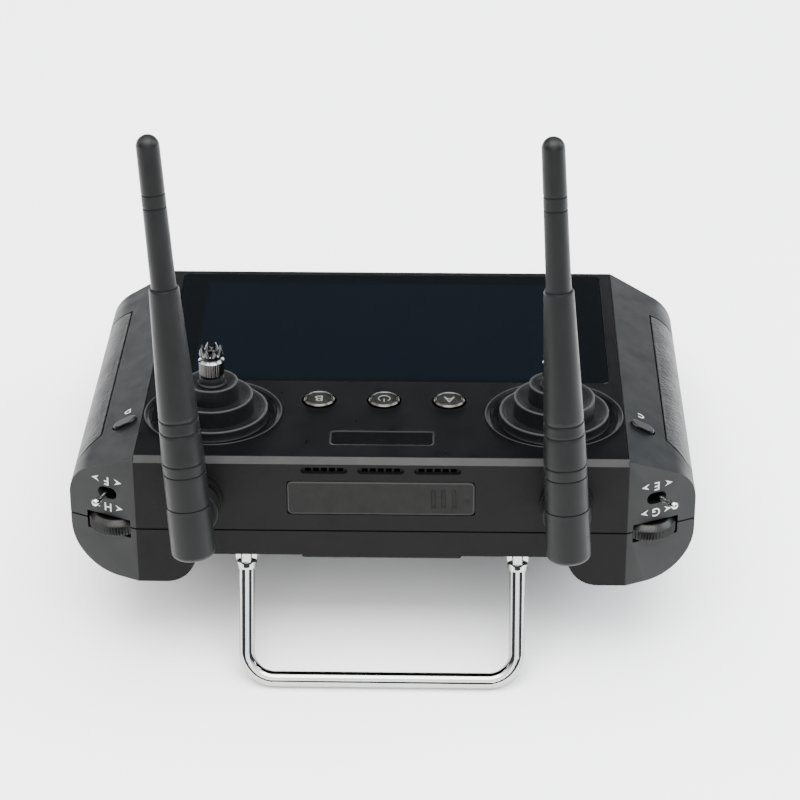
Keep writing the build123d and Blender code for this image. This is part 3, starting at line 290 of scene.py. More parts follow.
def settle(name, bm, place, body, material, stands_for=(), sharp=32):
    """Make an object of a mesh drawn in the frame `place`, in millimetres, and let it ride on a body."""
    bmesh.ops.recalc_face_normals(bm, faces=bm.faces)
    bm.transform(BODY @ place)
    if (BODY @ place).determinant() < 0:
        bmesh.ops.reverse_faces(bm, faces=bm.faces)
    mesh = bpy.data.meshes.new(name)
    bm.to_mesh(mesh)
    bm.free()
    mesh.shade_smooth()
    mesh.set_sharp_from_angle(angle=math.radians(sharp))
    mesh.materials.append(material)
    obj = bpy.data.objects.new(name, mesh)
    bpy.context.scene.collection.objects.link(obj)
    weigh_normals(obj)
    if body:
        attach(obj, body)
    if stands_for:
        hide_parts(*stands_for)
    return obj


def lathe(profile, steps=96, ripple=None, painted_highlight_and_wear=None):
    """Closed solid of revolution about local Z. profile is [(radius, z)] from axis to axis.

    ripple(angle, index) scales the radius of profile point index. The last argument holds the profile points
    painted lighter, a painted highlight.
    """
    bm = bmesh.new()
    layer = bm.verts.layers.float.new("painted_highlight_and_wear")
    rings = []
    for index, (radius, z) in enumerate(profile):
        if radius < 1e-6:
            rings.append([bm.verts.new((0, 0, z))])
            continue
        ring = []
        for step in range(steps):
            angle = 2 * math.pi * step / steps
            scale = ripple(angle, index) if ripple else 1.0
            ring.append(bm.verts.new((radius * scale * math.cos(angle), radius * scale * math.sin(angle), z)))
        rings.append(ring)
        if painted_highlight_and_wear:
            for vert in ring:
                vert[layer] = painted_highlight_and_wear.get(index, 0.0)
    for low, high in zip(rings, rings[1:]):
        for step in range(steps):
            after = (step + 1) % steps
            corners = [low[step % len(low)], low[after % len(low)]]
            corners += [high[after % len(high)], high[step % len(high)]]
            bm.faces.new(list(dict.fromkeys(corners)))
    return bm


def ring_lathe(profile, steps=96, painted_highlight_and_wear=None):
    """Closed ring of revolution: the profile is a closed loop that doesn't touch the axis."""
    bm = bmesh.new()
    layer = bm.verts.layers.float.new("painted_highlight_and_wear")
    loops = []
    for step in range(steps):
        angle = 2 * math.pi * step / steps
        loop = [bm.verts.new((r * math.cos(angle), r * math.sin(angle), z)) for r, z in profile]
        for index, vert in enumerate(loop):
            vert[layer] = (painted_highlight_and_wear or {}).get(index, 0.0)
        loops.append(loop)
    for a, b in zip(loops, loops[1:] + loops[:1]):
        for i in range(len(profile)):
            j = (i + 1) % len(profile)
            bm.faces.new((a[i], b[i], b[j], a[j]))
    return bm


def slab(points, z0, z1, edge=0.0, segments=3, bm=None):
    """Prism on a closed outline, its top rim rounded by edge."""
    bm = bm or bmesh.new()
    low = [bm.verts.new((x, y, z0)) for x, y in points]
    high = [bm.verts.new((x, y, z1)) for x, y in points]
    count = len(points)
    for i in range(count):
        j = (i + 1) % count
        bm.faces.new((low[i], low[j], high[j], high[i]))
    bm.faces.new(low[::-1])
    top = bm.faces.new(high)
    if edge:
        bmesh.ops.bevel(bm, geom=list(top.edges), offset=edge, segments=segments, profile=0.5, affect="EDGES",
                        clamp_overlap=True)
    return bm


def obround(long, wide, steps=16):
    """Outline of a slot with round ends, its long way along X."""
    r = wide / 2
    half = long / 2 - r
    right = [(half + r * math.cos(a), r * math.sin(a)) for a in
             (math.pi * (k / steps - 0.5) for k in range(steps + 1))]
    return right + [(-x, -y) for x, y in right]


def rectangle(x0, x1, y0, y1, r, steps=6):
    """Outline of a rectangle with round corners."""
    out = []
    for cx, cy, start in ((x1 - r, y1 - r, 0), (x0 + r, y1 - r, 90), (x0 + r, y0 + r, 180),
                          (x1 - r, y0 + r, 270)):
        for k in range(steps + 1):
            a = math.radians(start + 90 * k / steps)
            out.append((cx + r * math.cos(a), cy + r * math.sin(a)))
    return out


def tube(points, radius, steps=32):
    """Round rod along a path of points."""
    bm = bmesh.new()
    path = [Vector(p) for p in points]
    side = Vector((0, 0, 1))
    rings = []
    for i, p in enumerate(path):
        ahead = (path[min(i + 1, len(path) - 1)] - path[max(i - 1, 0)]).normalized()
        across = ahead.cross(side).normalized()
        up = across.cross(ahead)
        rings.append([bm.verts.new(p + radius * (across * math.cos(a) + up * math.sin(a)))
                      for a in (2 * math.pi * k / steps for k in range(steps))])
    for a, b in zip(rings, rings[1:]):
        for k in range(steps):
            j = (k + 1) % steps
            bm.faces.new((a[k], a[j], b[j], b[k]))
    bm.faces.new(rings[0][::-1])
    bm.faces.new(rings[-1])
    return bm


def refined(name, node, edge, body, material, segments=2, limit=25, shade=None):
    """Stand-in for a CAD node with the same faces and its sharp edges rounded by edge mm."""
    bm = bmesh.new()
    bm.from_mesh(nodes[node].data)
    bmesh.ops.remove_doubles(bm, verts=bm.verts, dist=1e-6)
    bmesh.ops.dissolve_limit(bm, angle_limit=math.radians(0.6), verts=bm.verts, edges=bm.edges)
    mesh = bpy.data.meshes.new(name)
    bm.to_mesh(mesh)
    bm.free()
    obj = bpy.data.objects.new(name, mesh)
    bpy.context.scene.collection.objects.link(obj)
    bevel = obj.modifiers.new("edges", "BEVEL")
    bevel.width = edge * MM
    bevel.segments = segments
    bevel.limit_method = "ANGLE"
    bevel.angle_limit = math.radians(limit)
    bevel.use_clamp_overlap = True
    bevel.loop_slide = False
    bpy.context.view_layer.update()
    final = bpy.data.meshes.new_from_object(obj.evaluated_get(bpy.context.evaluated_depsgraph_get()))
    obj.modifiers.clear()
    obj.data = final
    final.shade_smooth()
    final.set_sharp_from_angle(angle=math.radians(35))
    final.materials.clear()
    final.materials.append(material)
    if shade:
        shade(final)
    weigh_normals(obj)
    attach(obj, body)
    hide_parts(node)
    return obj


PRINT_THICK = 0.04    # mm that the print stands off its surface


def letters(name, words, size, place, body, material=None):
    """Raised print on a surface: words drawn in the XY plane of place."""
    curve = bpy.data.curves.new(name, "FONT")
    curve.body = words
    curve.size = size
    curve.align_x = "CENTER"
    curve.align_y = "CENTER"
    curve.extrude = PRINT_THICK / 2
    curve.offset = size * 0.012
    carrier = bpy.data.objects.new(name + ".text", curve)
    bpy.context.scene.collection.objects.link(carrier)
    bpy.context.view_layer.update()
    mesh = bpy.data.meshes.new_from_object(carrier)
    bpy.data.objects.remove(carrier)
    bm = bmesh.new()
    bm.from_mesh(mesh)
    bmesh.ops.remove_doubles(bm, verts=bm.verts, dist=1e-5)
    return settle(name, bm, place, body, material or PRINT, sharp=20)


def paint(name, material):
    """Give a CAD node its finish."""
    mesh = nodes[name].data
    mesh.materials.clear()
    mesh.materials.append(material)


# ---------------------------------------------------------------- case
WING_X = 73.5    # the wings and end faces lie beyond this


def case_shades(mesh):
    """Painted light: a lighter plastic on the end faces and a painted highlight on the near top bevel; bluer
    wings.
    """
    for material in (BEVEL, WING, END_PAINTED_LIGHT):
        mesh.materials.append(material)
    normal = (Z_BODY - Y_BODY).normalized()
    for face in mesh.polygons:
        at = TO_BODY @ face.center
        looks_out = abs(face.normal.dot(X_BODY))
        # the near top bevel takes the painted highlight
        if face.normal.dot(normal) > 0.93 and at.y < 3 and at.z > -3:
            face.material_index = 1
        # the end faces take the lighter copy, painted light
        elif looks_out > 0.2 and face.normal.dot(Y_BODY) < -0.3 and abs(at.x) > WING_X:
            face.material_index = 3
        elif looks_out > 0.05 and abs(at.x) > WING_X:
            face.material_index = 2


def make_case():
    refined("upper_shell.skin", "upper_shell", 0.3, "case", CASE, shade=case_shades)
    refined("lower_shell.skin", "lower_shell", 0.35, "case", CASE, shade=case_shades)
    refined("face_plate.skin", "face_plate", 0.12, "case", DECK)
    refined("back_plate.skin", "back_plate", 0.3, "case", CASE)
    for name in SIDES:
        refined(f"grip_{name}.skin", f"grip_{name}", 0.45, "case", RUBBER, segments=3)
    for node, material in (("lcd_tray", STEEL), ("lcd_panel", INSIDE), ("port_block", INSIDE),
                           ("vent_mesh", INSIDE),
                           ("battery_pack", WRAP), ("main_board", SOLDER_MASK), ("rf_shield", STEEL),
                           ("key_board", SOLDER_MASK), ("key_switches", INSIDE), ("case_screws", STEEL),
                           ("handle_pins", STEEL), ("side_key_boards", SOLDER_MASK),
                           ("nameplate_insert", NAMEPLATE)):
        paint(node, material)
    for name in SIDES:
        for part in ("gimbal_base", "gimbal_yoke", "toggle_body", "dial_pot"):
            paint(f"{part}_{name}", INSIDE)
        paint(f"stick_shaft_{name}", STEEL)


def make_nameplate_frame():
    """Fine raised lip round the recess of the nameplate, its top painted lighter as a painted highlight."""
    (x0, x1), (y0, y1), _ = span("nameplate_insert")
    _, _, (_, deck) = span("face_plate")
    loops = []
    bm = bmesh.new()
    layer = bm.verts.layers.float.new("painted_highlight_and_wear")
    # the third number paints the lip's top lighter: a painted highlight
    section = ((0.5, -0.04, 0), (0.4, 0.04, 0.5), (0.25, 0.04, 0.5), (-0.1, -0.1, 0), (-0.15, -0.3, 0),
               (0.3, -0.3, 0))
    for grow, rise, highlight_share in section:
        outline = rectangle(x0 - grow, x1 + grow, y0 - grow, y1 + grow, 1.3)
        loop = [bm.verts.new((x, y, deck + rise)) for x, y in outline]
        for vert in loop:
            vert[layer] = highlight_share
        loops.append(loop)
    for low, high in zip(loops, loops[1:] + loops[:1]):
        for i in range(len(low)):
            j = (i + 1) % len(low)
            bm.faces.new((low[i], low[j], high[j], high[i]))
    settle("nameplate_lip", bm, Matrix.Identity(4), "case", BEZEL, sharp=60)


def make_screen():
    (x0, x1), (y0, y1), (z0, z1) = span("screen_glass")
    (ax0, ax1), (ay0, ay1), _ = span("lcd_panel")
    border = 0.7
    glass = slab(rectangle(x0, x1, y0, y1, 1.6), z0, z1, edge=0.25)
    material = screen_finish("screen_glass_off", (ax0 + border, ay0 + border, z1),
                             (ax1 - border, ay1 - border, z1))
    settle("screen_glass.skin", glass, Matrix.Identity(4), "case", material, ["screen_glass"])


# ---------------------------------------------------------------- keys
def power_symbol(radius, place, body):
    """Open ring with a stroke in its gap."""
    gap = math.radians(38)
    arc = [(radius * math.sin(a), radius * math.cos(a), 0) for a in
           (gap + (2 * math.pi - 2 * gap) * k / 40 for k in range(41))]
    ring = tube(arc, 0.2, steps=8)
    settle("power_mark_ring", ring, place, body, KEY_PRINT)
    stroke = slab(rectangle(-0.2, 0.2, radius * 0.2, radius * 1.2, 0.05), -0.02, 0.1)
    settle("power_mark_stroke", stroke, place, body, KEY_PRINT)


def make_round_key(name, mark):
    node = f"button_{name}_ring"
    (x0, x1), (y0, y1), (z0, z1) = span(node)
    radius = (x1 - x0) / 2 - 0.2
    middle = Vector(((x0 + x1) / 2, (y0 + y1) / 2, 0))
    place = Matrix.Translation(middle)
    body = f"button_{name}"
    inner = radius - 1.05
    rim = [(inner, z0), (radius, z0), (radius, z1 - 0.55), (radius - 0.45, z1 - 0.05), (radius - 0.75, z1),
           (inner + 0.12, z1 - 0.12), (inner, z1 - 0.35)]
    settle(f"{node}.skin", ring_lathe(rim), place, body, RING, [node])
    top = z1 - 0.22
    (_, _), (_, _), (low, _) = span(f"button_{name}_cap")
    flange = (span(f"button_{name}_cap")[0][1] - span(f"button_{name}_cap")[0][0]) / 2
    cap = [(0, low), (inner - 0.6, low), (inner - 0.6, low + 0.2), (flange, low + 0.2), (flange, z0),
           (inner, z0), (inner, top - 0.1), (inner - 0.12, top), (inner - 0.55, top),
           (inner - 0.65, top - 0.14),
           (inner - 0.85, top - 0.14), (inner - 0.95, top), (0, top)]
    settle(f"button_{name}_cap.skin", lathe(cap), place, body, KEY, [f"button_{name}_cap"])
    top_place = Matrix.Translation(middle + Vector((0, 0, top + 0.01))) @ Matrix.Rotation(math.pi, 4, "Z")
    if mark:
        letters(f"button_{name}_mark", mark, 5.0, top_place, body, KEY_PRINT)
    else:
        power_symbol(1.8, top_place, body)


def make_side_key(name, mark):
    node = f"button_{name}"
    travel = hinge_axis(f"{node}_press")
    top = max((TO_BODY @ v.co).dot(-travel) for v in nodes[node].data.vertices)
    low = min((TO_BODY @ v.co).dot(-travel) for v in nodes[node].data.vertices)
    middle = centre(node)
    middle = middle + (-travel) * (top - middle.dot(-travel))
    slope = facing(middle, -travel, (1, 0, 0))
    deep = top - low
    bm = slab(obround(8.0, 4.2), -deep, 0, edge=0.7, segments=5)
    slab(obround(9.8, 6.0), -deep, -deep + 1.0, bm=bm)
    settle(f"{node}.skin", bm, slope, node, SIDE_KEY, [node])
    print_place = slope @ Matrix.Translation((0, 7.3, -0.78)) @ Matrix.Rotation(math.pi, 4, "Z")
    letters(f"{node}_mark", mark, 3.2, print_place, "case")


# ---------------------------------------------------------------- sticks
BOOT_TIERS = ((16.6, 2.0), (12.2, 6.6), (7.7, 11.3))


def boot_profile():
    """Outside of the boot from its foot to its neck: each tier is a wall, a rolled rim and a sunk ledge."""
    points = [(17.2, -0.95)]
    painted_highlight_and_wear = {}
    for index, (radius, z) in enumerate(BOOT_TIERS):
        foot = -0.6 if index == 0 else BOOT_TIERS[index - 1][1] - 0.9
        points += [(radius + 0.25, foot), (radius + 0.1, z - 0.55)]
        points += [(radius + 0.12, z - 0.2), (radius - 0.1, z + 0.02), (radius - 0.4, z + 0.02)]
        # the rim points are painted lighter: a painted highlight, and wear
        for back in (1, 2, 3):
            painted_highlight_and_wear[len(points) - back] = 1.0
        points += [(radius - 0.75, z - 0.25), (radius - 1.6, z - 0.75), (radius - 3.2, z - 0.95)]
    points += [(4.55, 10.85), (3.95, 11.25), (3.8, 12.7), (3.55, 13.1), (2.25, 13.1)]
    return points, painted_highlight_and_wear


def stretch_rings(points, painted_highlight_and_wear, most=0.9):
    """Divide long runs of a profile so that it bends smoothly."""
    out, highlight_share = [points[0]], {0: painted_highlight_and_wear.get(0, 0.0)}
    for i in range(1, len(points)):
        a, b = Vector(points[i - 1]), Vector(points[i])
        cuts = max(1, int((b - a).length / most))
        for k in range(1, cuts + 1):
            out.append(tuple(a.lerp(b, k / cuts)))
            highlight_share[len(out) - 1] = painted_highlight_and_wear.get(i, 0.0) if k == cuts else 0.0
    return out, highlight_share


def make_stick(name):
    pivot = hinge_point(f"stick_{name}_fore_aft")
    place = Matrix.Translation((pivot.x, pivot.y, 0))
    outside, painted_highlight_and_wear = boot_profile()
    outside, painted_highlight_and_wear = stretch_rings(outside, painted_highlight_and_wear)
    split = next(i for i, p in enumerate(outside) if p[1] > 4.6)
    parts = (("foot", outside[:split + 1], ("case", f"gimbal_{name}"), 0.0, 5.2),
             ("neck", outside[split:], (f"gimbal_{name}", f"stick_{name}"), 5.2, 12.2))
    wall = 0.8
    for part, run, bodies, z0, z1 in parts:
        inner = [(max(r - wall, 2.25), z - 0.35) for r, z in run]
        shift = 0 if part == "foot" else split
        marks = {i: painted_highlight_and_wear.get(i + shift, 0.0) for i in range(len(run))}
        bm = ring_lathe(run + inner[::-1], painted_highlight_and_wear=marks)
        stands = [f"stick_boot_{name}"] if part == "foot" else ()
        obj = settle(f"stick_boot_{name}.{part}", bm, place, None, BOOT, stands, sharp=50)
        start = BODY @ place @ Vector((0, 0, z0))
        end = BODY @ place @ Vector((0, 0, z1))
        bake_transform(obj, bodies[0], bodies[1], start, end)

    outer = (span(f"stick_bezel_{name}")[0][1] - span(f"stick_bezel_{name}")[0][0]) / 2
    rim = [(outer, 0.02), (outer - 0.08, 0.32), (outer - 0.22, 0.46), (outer - 0.4, 0.46), (outer - 0.6, 0.3),
           (outer - 1.4, 0.12), (outer - 1.75, -0.5), (outer - 2.15, -0.9), (outer - 2.24, -0.98),
           (outer - 1.65, -0.98), (outer - 1.65, 0.0), (outer - 1.0, 0.0)]
    # the top of the bezel's lip is painted lighter: a painted highlight
    settle(f"stick_bezel_{name}.skin", ring_lathe(rim, 128, painted_highlight_and_wear={2: 1.0, 3: 1.0}), place, "case", BEZEL,
           [f"stick_bezel_{name}"], sharp=60)
    make_knob(name, place)


def make_knob(name, place):
    node = f"stick_knob_{name}"
    (x0, x1), _, (z0, z1) = span(node)
    radius = (x1 - x0) / 2
    waist = z0 + 5.5
    teeth = 40
    body = f"stick_{name}"

    def knurl(angle, index):
        if 2 <= index <= 3:
            return 1 - 0.028 * (0.5 + 0.5 * math.cos(teeth * angle))
        return 1.0

    low = [(0, z0), (radius - 0.5, z0), (radius - 0.08, z0 + 0.4), (radius - 0.08, waist - 1.0)]
    low += [(radius, waist - 0.95), (radius, waist - 0.8), (radius - 0.2, waist - 0.62)]
    low += [(radius - 0.8, waist - 0.05), (radius - 0.85, waist + 0.1), (radius - 0.8, waist + 0.2)]
    low += [(0, waist + 0.2)]
    # the waist bevel is painted lighter: a painted highlight
    bm = lathe(low, steps=teeth * 4, ripple=knurl, painted_highlight_and_wear={4: 0.3, 5: 0.8, 6: 0.8, 7: 0.3})
    prongs = 8
    steps = prongs * 16
    crown_low, crown_top = waist + 0.15, z1
    depth = 2.1
    cup = crown_top - depth - 0.4

    def rim_height(angle):
        """Height of the crown's rim: a row of straight-sided teeth."""
        phase = (angle * prongs / (2 * math.pi)) % 1.0
        return crown_top - depth * min(1.0, abs(phase - 0.5) * 2.3)

    layer = bm.verts.layers.float["painted_highlight_and_wear"]
    loops = []
    for step in range(steps):
        angle = 2 * math.pi * step / steps
        rim = rim_height(angle)
        # the third number paints the crown's rims lighter: a painted highlight
        section = [(radius - 0.85, crown_low, 0), (radius - 0.35, crown_low + 0.8, 0.6),
                   (radius - 0.2, crown_low + 1.3, 0.2), (radius - 0.35, rim - 0.45, 0.1),
                   (radius - 0.75, rim, 0.7), (radius - 1.15, rim - 0.1, 0.3),
                   (radius - 1.6, cup + 0.2, 0), (radius - 2.2, cup, 0)]
        loop = []
        for r, z, highlight_share in section:
            vert = bm.verts.new((r * math.cos(angle), r * math.sin(angle), z))
            vert[layer] = highlight_share
            loop.append(vert)
        loops.append(loop)
    for a, b in zip(loops, loops[1:] + loops[:1]):
        for i in range(len(a)):
            j = (i + 1) % len(a)
            bm.faces.new((a[i], b[i], b[j], a[j]))
    settle(f"{node}.skin", bm, place, body, KNOB, [node], sharp=40)


# ---------------------------------------------------------------- end faces
END_SWEEP = 25.0      # degrees that the end faces recede from the near face
TOGGLE_DEPTH = 4.0    # from an end face in to the toggle's pivot


def arrowhead(name, x, y, point, place):
    """Notched arrowhead that points to +X or -X."""
    long, tall, notch = 2.5, 2.0, 0.95
    tip, tail = x + point * long / 2, x - point * long / 2
    outline = [(tip, y), (tail, y + tall / 2), (x - point * (long / 2 - notch), y), (tail, y - tall / 2)]
    settle(name, slab(outline, 0, PRINT_THICK), place, "case", PRINT, sharp=20)


def make_end_controls(name, side, upper_mark, lower_mark):
    pivot = hinge_point(f"toggle_{name}_flick")
    lever = [TO_BODY @ v.co for v in nodes[f"toggle_lever_{name}"].data.vertices]
    tip = max(lever, key=lambda p: (p - pivot).length)
    sweep = math.radians(END_SWEEP)
    outward = Vector((side * math.sin(sweep), -math.cos(sweep), 0))
    along = (tip - pivot).normalized()
    far = [p for p in lever if (p - pivot).dot(along) > (tip - pivot).dot(along) - 1.2]
    along = (sum(far, Vector()) / len(far) - pivot).normalized()
    long = max((p - pivot).dot(along) for p in lever)
    aim = facing(pivot, along, (0, 0, 1))
    ball, rod, neck = 1.25, 1.0, 0.82
    profile = [(0, -1.8), (1.2, -1.4), (1.8, -0.3), (1.8, 0.4), (rod, 1.6), (rod * 0.96, 4.0)]
    profile += [(neck, long - 2.1 * ball)]
    profile += [(ball * math.sin(a), long - ball - ball * math.cos(a)) for a in
                (math.radians(v) for v in range(40, 180, 10))]
    profile += [(0, long)]
    settle(f"toggle_lever_{name}.skin", lathe(profile, 48), aim, f"toggle_{name}", CHROME,
           [f"toggle_lever_{name}"], sharp=50)
    wall = pivot + outward * TOGGLE_DEPTH
    face = facing(wall, outward, (1, 0, 0))
    upside = Matrix.Rotation(math.pi, 4, "Z")
    for mark, y in ((upper_mark, 4.2), (lower_mark, -4.8)):
        letters(f"toggle_{name}_{mark}", mark, 3.9, face @ Matrix.Translation((0, y, 0.01)) @ upside, "case")
        for point in (-1, 1):
            where = "in" if point * side < 0 else "out"
            arrowhead(f"toggle_{name}_{mark}_{where}", point * 3.95, y + 0.2, point, face)
    make_dial(name)


def make_dial(name):
    node = f"dial_wheel_{name}"
    (x0, x1), (y0, y1), (z0, z1) = span(node)
    radius = (x1 - x0) / 2
    teeth = 60
    bore = 1.56
    low, high = z0 + 0.6, z1 - 1.75

    def knurl(angle, index):
        if index in (3, 4):
            return 1 - 0.05 * (0.5 + 0.5 * math.cos(teeth * angle)) ** 0.6
        return 1.0

    profile = [(bore, z0), (radius - 1.4, z0), (radius - 0.5, z0 + 0.25), (radius, low), (radius, high),
               (radius - 0.25, high + 0.15), (radius - 0.4, high + 0.35), (radius - 1.5, z1 - 0.15),
               (radius - 1.8, z1), (radius - 2.1, z1 - 0.05), (radius - 2.9, z1 - 0.62),
               (radius - 4.2, z1 - 0.68), (bore, z1 - 0.68)]
    bm = bmesh.new()
    layer = bm.verts.layers.float.new("painted_highlight_and_wear")
    steps = teeth * 6
    loops = []
    for step in range(steps):
        angle = 2 * math.pi * step / steps
        loop = []
        for index, (r, z) in enumerate(profile):
            scale = knurl(angle, index)
            vert = bm.verts.new((r * scale * math.cos(angle), r * scale * math.sin(angle), z))
            # the top bevel is painted lighter: a painted highlight
            vert[layer] = 0.8 if 5 <= index <= 8 else 0.0
            loop.append(vert)
        loops.append(loop)
    for a, b in zip(loops, loops[1:] + loops[:1]):
        for i in range(len(profile)):
            j = (i + 1) % len(profile)
            bm.faces.new((a[i], b[i], b[j], a[j]))
    place = Matrix.Translation(((x0 + x1) / 2, (y0 + y1) / 2, 0))
    settle(f"{node}.skin", bm, place, f"dial_{name}", DIAL, [node], sharp=40)


# ---------------------------------------------------------------- near face
def make_door():
    (x0, x1), (y0, y1), (z0, z1) = span("port_door")
    bm = bmesh.new()
    layer = bm.verts.layers.float.new("painted_highlight_and_wear")
    columns, rows = 224, 44
    corner = 1.5
    grooves, half_groove, groove_size = (15.7, 18.8, 21.9), 3.1, 0.45
    middle = -13.3        # height of the grooves' and the dent's centre
    dent_x, dent_deep = 25.6, 0.3

    def height(x, z):
        """Distance of the flap's front below its outermost plane."""
        drop = 0.0
        for g in grooves:
            away = math.hypot(max(abs(x - g) - 0.25, 0), max(abs(z - middle) - half_groove, 0))
            drop = max(drop, groove_size * max(0.0, 1 - (away / groove_size) ** 2))
        dent = math.hypot((x - dent_x) / 1.5, (z - middle) / 2.0)
        if dent < 1:
            drop = max(drop, dent_deep * (0.5 + 0.5 * math.cos(math.pi * dent)))
        ripple = 0.02 * math.sin(x * 0.55) * math.sin(z * 0.8 + x * 0.21)
        return drop + 0.02 + ripple

    grid = []
    for i in range(columns + 1):
        line = []
        for k in range(rows + 1):
            u, v = i / columns, k / rows
            x, z = x0 + (x1 - x0) * u, z0 + (z1 - z0) * v
            cx = min(max(x, x0 + corner), x1 - corner)
            cz = min(max(z, z0 + corner), z1 - corner)
            off = math.hypot(x - cx, z - cz)
            if off > corner:
                x, z = cx + (x - cx) * corner / off, cz + (z - cz) * corner / off
                off = corner
            edge = min(x - x0, x1 - x, z - z0, z1 - z)
            if cx != x and cz != z:
                edge = corner - off
            lip = 0.16 * max(0.0, 1 - max(edge, 0) / 0.35) ** 2
            vert = bm.verts.new((x, y0 + height(x, z) + lip, z))
            # the rim of the flap is painted lighter: a painted highlight
            vert[layer] = 1.0 if edge < 0.3 else 0.0
            line.append(vert)
        grid.append(line)
    front = []
    for i in range(columns):
        for k in range(rows):
            corners = (grid[i][k], grid[i + 1][k], grid[i + 1][k + 1], grid[i][k + 1])
            front.append(bm.faces.new(corners))
    rim = [e for e in bm.edges if e.is_boundary]
    bmesh.ops.remove_doubles(bm, verts=list(dict.fromkeys(v for e in rim for v in e.verts)), dist=1e-4)
    rim = [e for e in bm.edges if e.is_boundary]
    back = bmesh.ops.extrude_edge_only(bm, edges=rim)
    moved = [g for g in back["geom"] if isinstance(g, bmesh.types.BMVert)]
    for vert in moved:
        vert.co.y = y1
    bmesh.ops.holes_fill(bm, edges=[e for e in bm.edges if e.is_boundary], sides=0)
    settle("port_door.skin", bm, Matrix.Identity(4), "port_door", DOOR, ["port_door"],
           sharp=40)


# ---------------------------------------------------------------- antennas
def make_antenna(name):
    body = f"antenna_{name}"
    pivot = hinge_point(f"antenna_{name}_fold")
    cross = hinge_axis(f"antenna_{name}_fold")
    tip = [TO_BODY @ v.co for v in nodes[f"antenna_tip_{name}"].data.vertices]
    middle = sum(tip, Vector()) / len(tip)
    up = (middle - pivot)
    up = (up - cross * up.dot(cross)).normalized()
    place = facing(pivot, up, cross)

    def along(node):
        heights = [(TO_BODY @ v.co - pivot).dot(up) for v in nodes[node].data.vertices]
        return min(heights), max(heights)

    low, seam = along(f"antenna_barrel_{name}")
    _, shoulder = along(f"antenna_sleeve_{name}")
    _, top = along(f"antenna_tip_{name}")
    refined(f"antenna_barrel_{name}.skin", f"antenna_barrel_{name}", 0.12, body, ANTENNA,
            segments=2, limit=35)

    def grooved(radius_at, stops, start, end, count):
        """Profile with round-lipped grooves cut at the stops."""
        out = []
        heights = sorted(set([start + (end - start) * k / count for k in range(count + 1)]))
        lips = [(-0.42, 0.0), (-0.3, -0.05), (-0.22, -0.3), (0.22, -0.3), (0.3, -0.05), (0.42, 0.0)]
        marks = [(h, 0.0) for h in heights if all(abs(h - s) > 0.6 for s in stops)]
        for s in stops:
            marks += [(s + dz, dr) for dz, dr in lips]
        for h, dr in sorted(marks):
            out.append((radius_at(h) + dr, h))
        return out

    base, neck = 6.35, 4.33      # sleeve radius at the seam and at the shoulder
    taper = low + 31.2           # where the sleeve starts to narrow

    def sleeve_radius(h):
        share = max(0.0, (h - taper) / (shoulder - taper))
        return base + (neck - base) * share

    sleeve_grooves = [low + s for s in (27.3, 30.8, 40.5, 44.3)]
    run = grooved(sleeve_radius, sleeve_grooves, seam + 0.25, shoulder - 0.7, 30)
    profile = [(0, seam), (base - 0.3, seam), (base, seam + 0.25)] + run[1:]
    profile += [(neck, shoulder - 0.45), (neck - 0.12, shoulder - 0.15), (neck - 0.4, shoulder)]
    profile += [(0, shoulder)]
    settle(f"antenna_sleeve_{name}.skin", lathe(profile, 96), place, body, ANTENNA,
           [f"antenna_sleeve_{name}"], sharp=40)

    thick, thin = 3.65, 3.33     # tip radius at the shoulder and at the dome
    dome = top - thin

    def tip_radius(h):
        return thick + (thin - thick) * (h - shoulder) / (dome - shoulder)

    tip_grooves = [low + s for s in (108.8, 112.8)]
    run = grooved(tip_radius, tip_grooves, shoulder, dome, 12)
    profile = [(0, shoulder)] + run
    dome_angles = [math.radians(v) for v in range(8, 90, 8)]
    profile += [(thin * math.cos(a), dome + thin * math.sin(a)) for a in dome_angles]
    profile += [(0, top)]
    settle(f"antenna_tip_{name}.skin", lathe(profile, 72), place, body, ANTENNA,
           [f"antenna_tip_{name}"], sharp=40)
    refined(f"antenna_collar_{name}.skin", f"antenna_collar_{name}", 0.35, f"antenna_swivel_{name}", ANTENNA,
            limit=35)


# ---------------------------------------------------------------- handle
def make_handle():
    """Chrome bail and the brackets that carry it."""
    refined("handle.skin", "handle", 0.12, "handle", CHROME, segments=3, limit=40)
    refined("handle_brackets.skin", "handle_brackets", 0.2, "case", CHROME, segments=3, limit=40)


make_case()
make_nameplate_frame()
make_screen()
for key_name, key_mark in (("b", "B"), ("power", None), ("a", "A")):
    make_round_key(key_name, key_mark)
make_side_key("c", "C")
make_side_key("d", "D")
for side_name in SIDES:
    make_stick(side_name)
    make_antenna(side_name)
make_end_controls("left", -1, "F", "H")
make_end_controls("right", 1, "E", "G")
make_door()
make_handle()


# ---------------------------------------------------------------- stage, light and camera
def make_floor():
    bm = bmesh.new()
    bmesh.ops.create_grid(bm, x_segments=2, y_segments=2, size=1.6)
    mesh = bpy.data.meshes.new("floor")
    bm.to_mesh(mesh)
    bm.free()
    floor = bpy.data.objects.new("floor", mesh)
    bpy.context.scene.collection.objects.link(floor)
    material, tree, shader = new_material("pale_floor")
    tree.links.new(mix_colours(tree, spread(tree, noise(tree, 400).outputs["Fac"], 0, 1), (0.93, 0.93, 0.93),
                               (0.95, 0.95, 0.95)), shader.inputs["Base Color"])
    shader.inputs["Roughness"].default_value = 0.7
    shader.inputs["Specular IOR Level"].default_value = 0.2
    mesh.materials.append(material)


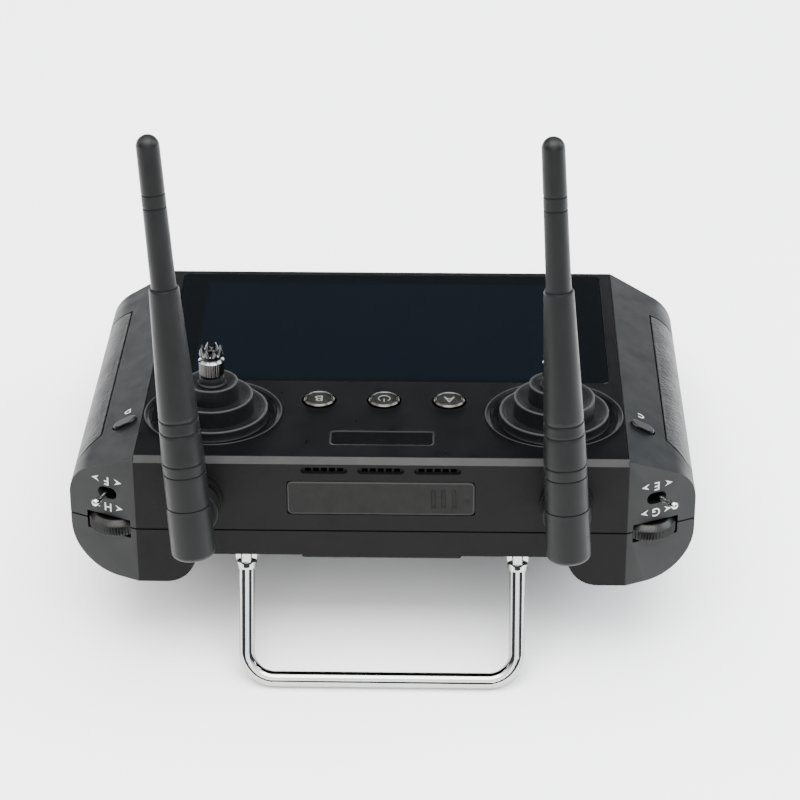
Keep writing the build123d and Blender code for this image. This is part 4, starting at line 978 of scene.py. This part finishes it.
def area_light(name, at, aim, size, power, colour=(1, 1, 1)):
    light = bpy.data.lights.new(name, "AREA")
    light.shape = "RECTANGLE"
    light.size, light.size_y = size
    light.energy = power
    light.color = colour
    obj = bpy.data.objects.new(name, light)
    direction = Vector(aim) - Vector(at)
    obj.location = at
    obj.rotation_euler = direction.to_track_quat("-Z", "Y").to_euler()
    bpy.context.scene.collection.objects.link(obj)


def make_world():
    world = bpy.data.worlds.new("studio")
    bpy.context.scene.world = world
    world.use_nodes = True
    tree = world.node_tree
    background = tree.nodes["Background"]
    coords = tree.nodes.new("ShaderNodeTexCoord")
    split = tree.nodes.new("ShaderNodeSeparateXYZ")
    tree.links.new(coords.outputs["Generated"], split.inputs["Vector"])
    ramp = tree.nodes.new("ShaderNodeValToRGB")
    ramp.color_ramp.elements[0].position = 0.4
    ramp.color_ramp.elements[0].color = (0.022, 0.0265, 0.031, 1)
    ramp.color_ramp.elements[1].position = 0.8
    ramp.color_ramp.elements[1].color = (1.0, 1.0, 1.0, 1)
    tree.links.new(split.outputs["Z"], ramp.inputs["Fac"])
    tree.links.new(ramp.outputs["Color"], background.inputs["Color"])
    background.inputs["Strength"].default_value = 4.2


def make_camera():
    """Camera in front of the antennas, looking down at the middle of the case."""
    camera = bpy.data.cameras.new("camera")
    camera.lens = 121.8
    camera.sensor_width = 36
    camera.clip_start = 0.01
    camera.shift_x = 0.0013
    camera.shift_y = -0.0005
    obj = bpy.data.objects.new("camera", camera)
    view = Vector((-0.02214, 0.88209, -0.47056))
    up = Vector((-0.00838, 0.47050, 0.88236))
    right = view.cross(up)
    turn = Matrix((right, up, -view)).transposed()
    at = Vector((23.09, -700.59, 394.17))
    turned = BODY.to_3x3() @ turn * (1 / MM)
    obj.matrix_world = Matrix.Translation(BODY @ at) @ turned.to_4x4()
    bpy.context.scene.collection.objects.link(obj)
    bpy.context.scene.camera = obj


make_floor()
make_world()
make_camera()
area_light("top", (0.0, -0.2, 1.5), (0, 0, 0), (1.6, 1.0), 50)
area_light("right_window", (1.2, 0.35, 0.75), (0.05, 0, 0.05), (0.8, 0.8), 20, (0.86, 0.94, 1.0))
area_light("left_window", (-1.2, 0.3, 0.65), (-0.05, 0, 0.05), (0.7, 0.7), 6, (1.0, 0.97, 0.94))
area_light("front_fill", (0.1, -1.3, 0.7), (0, 0, 0.05), (1.4, 0.5), 8)
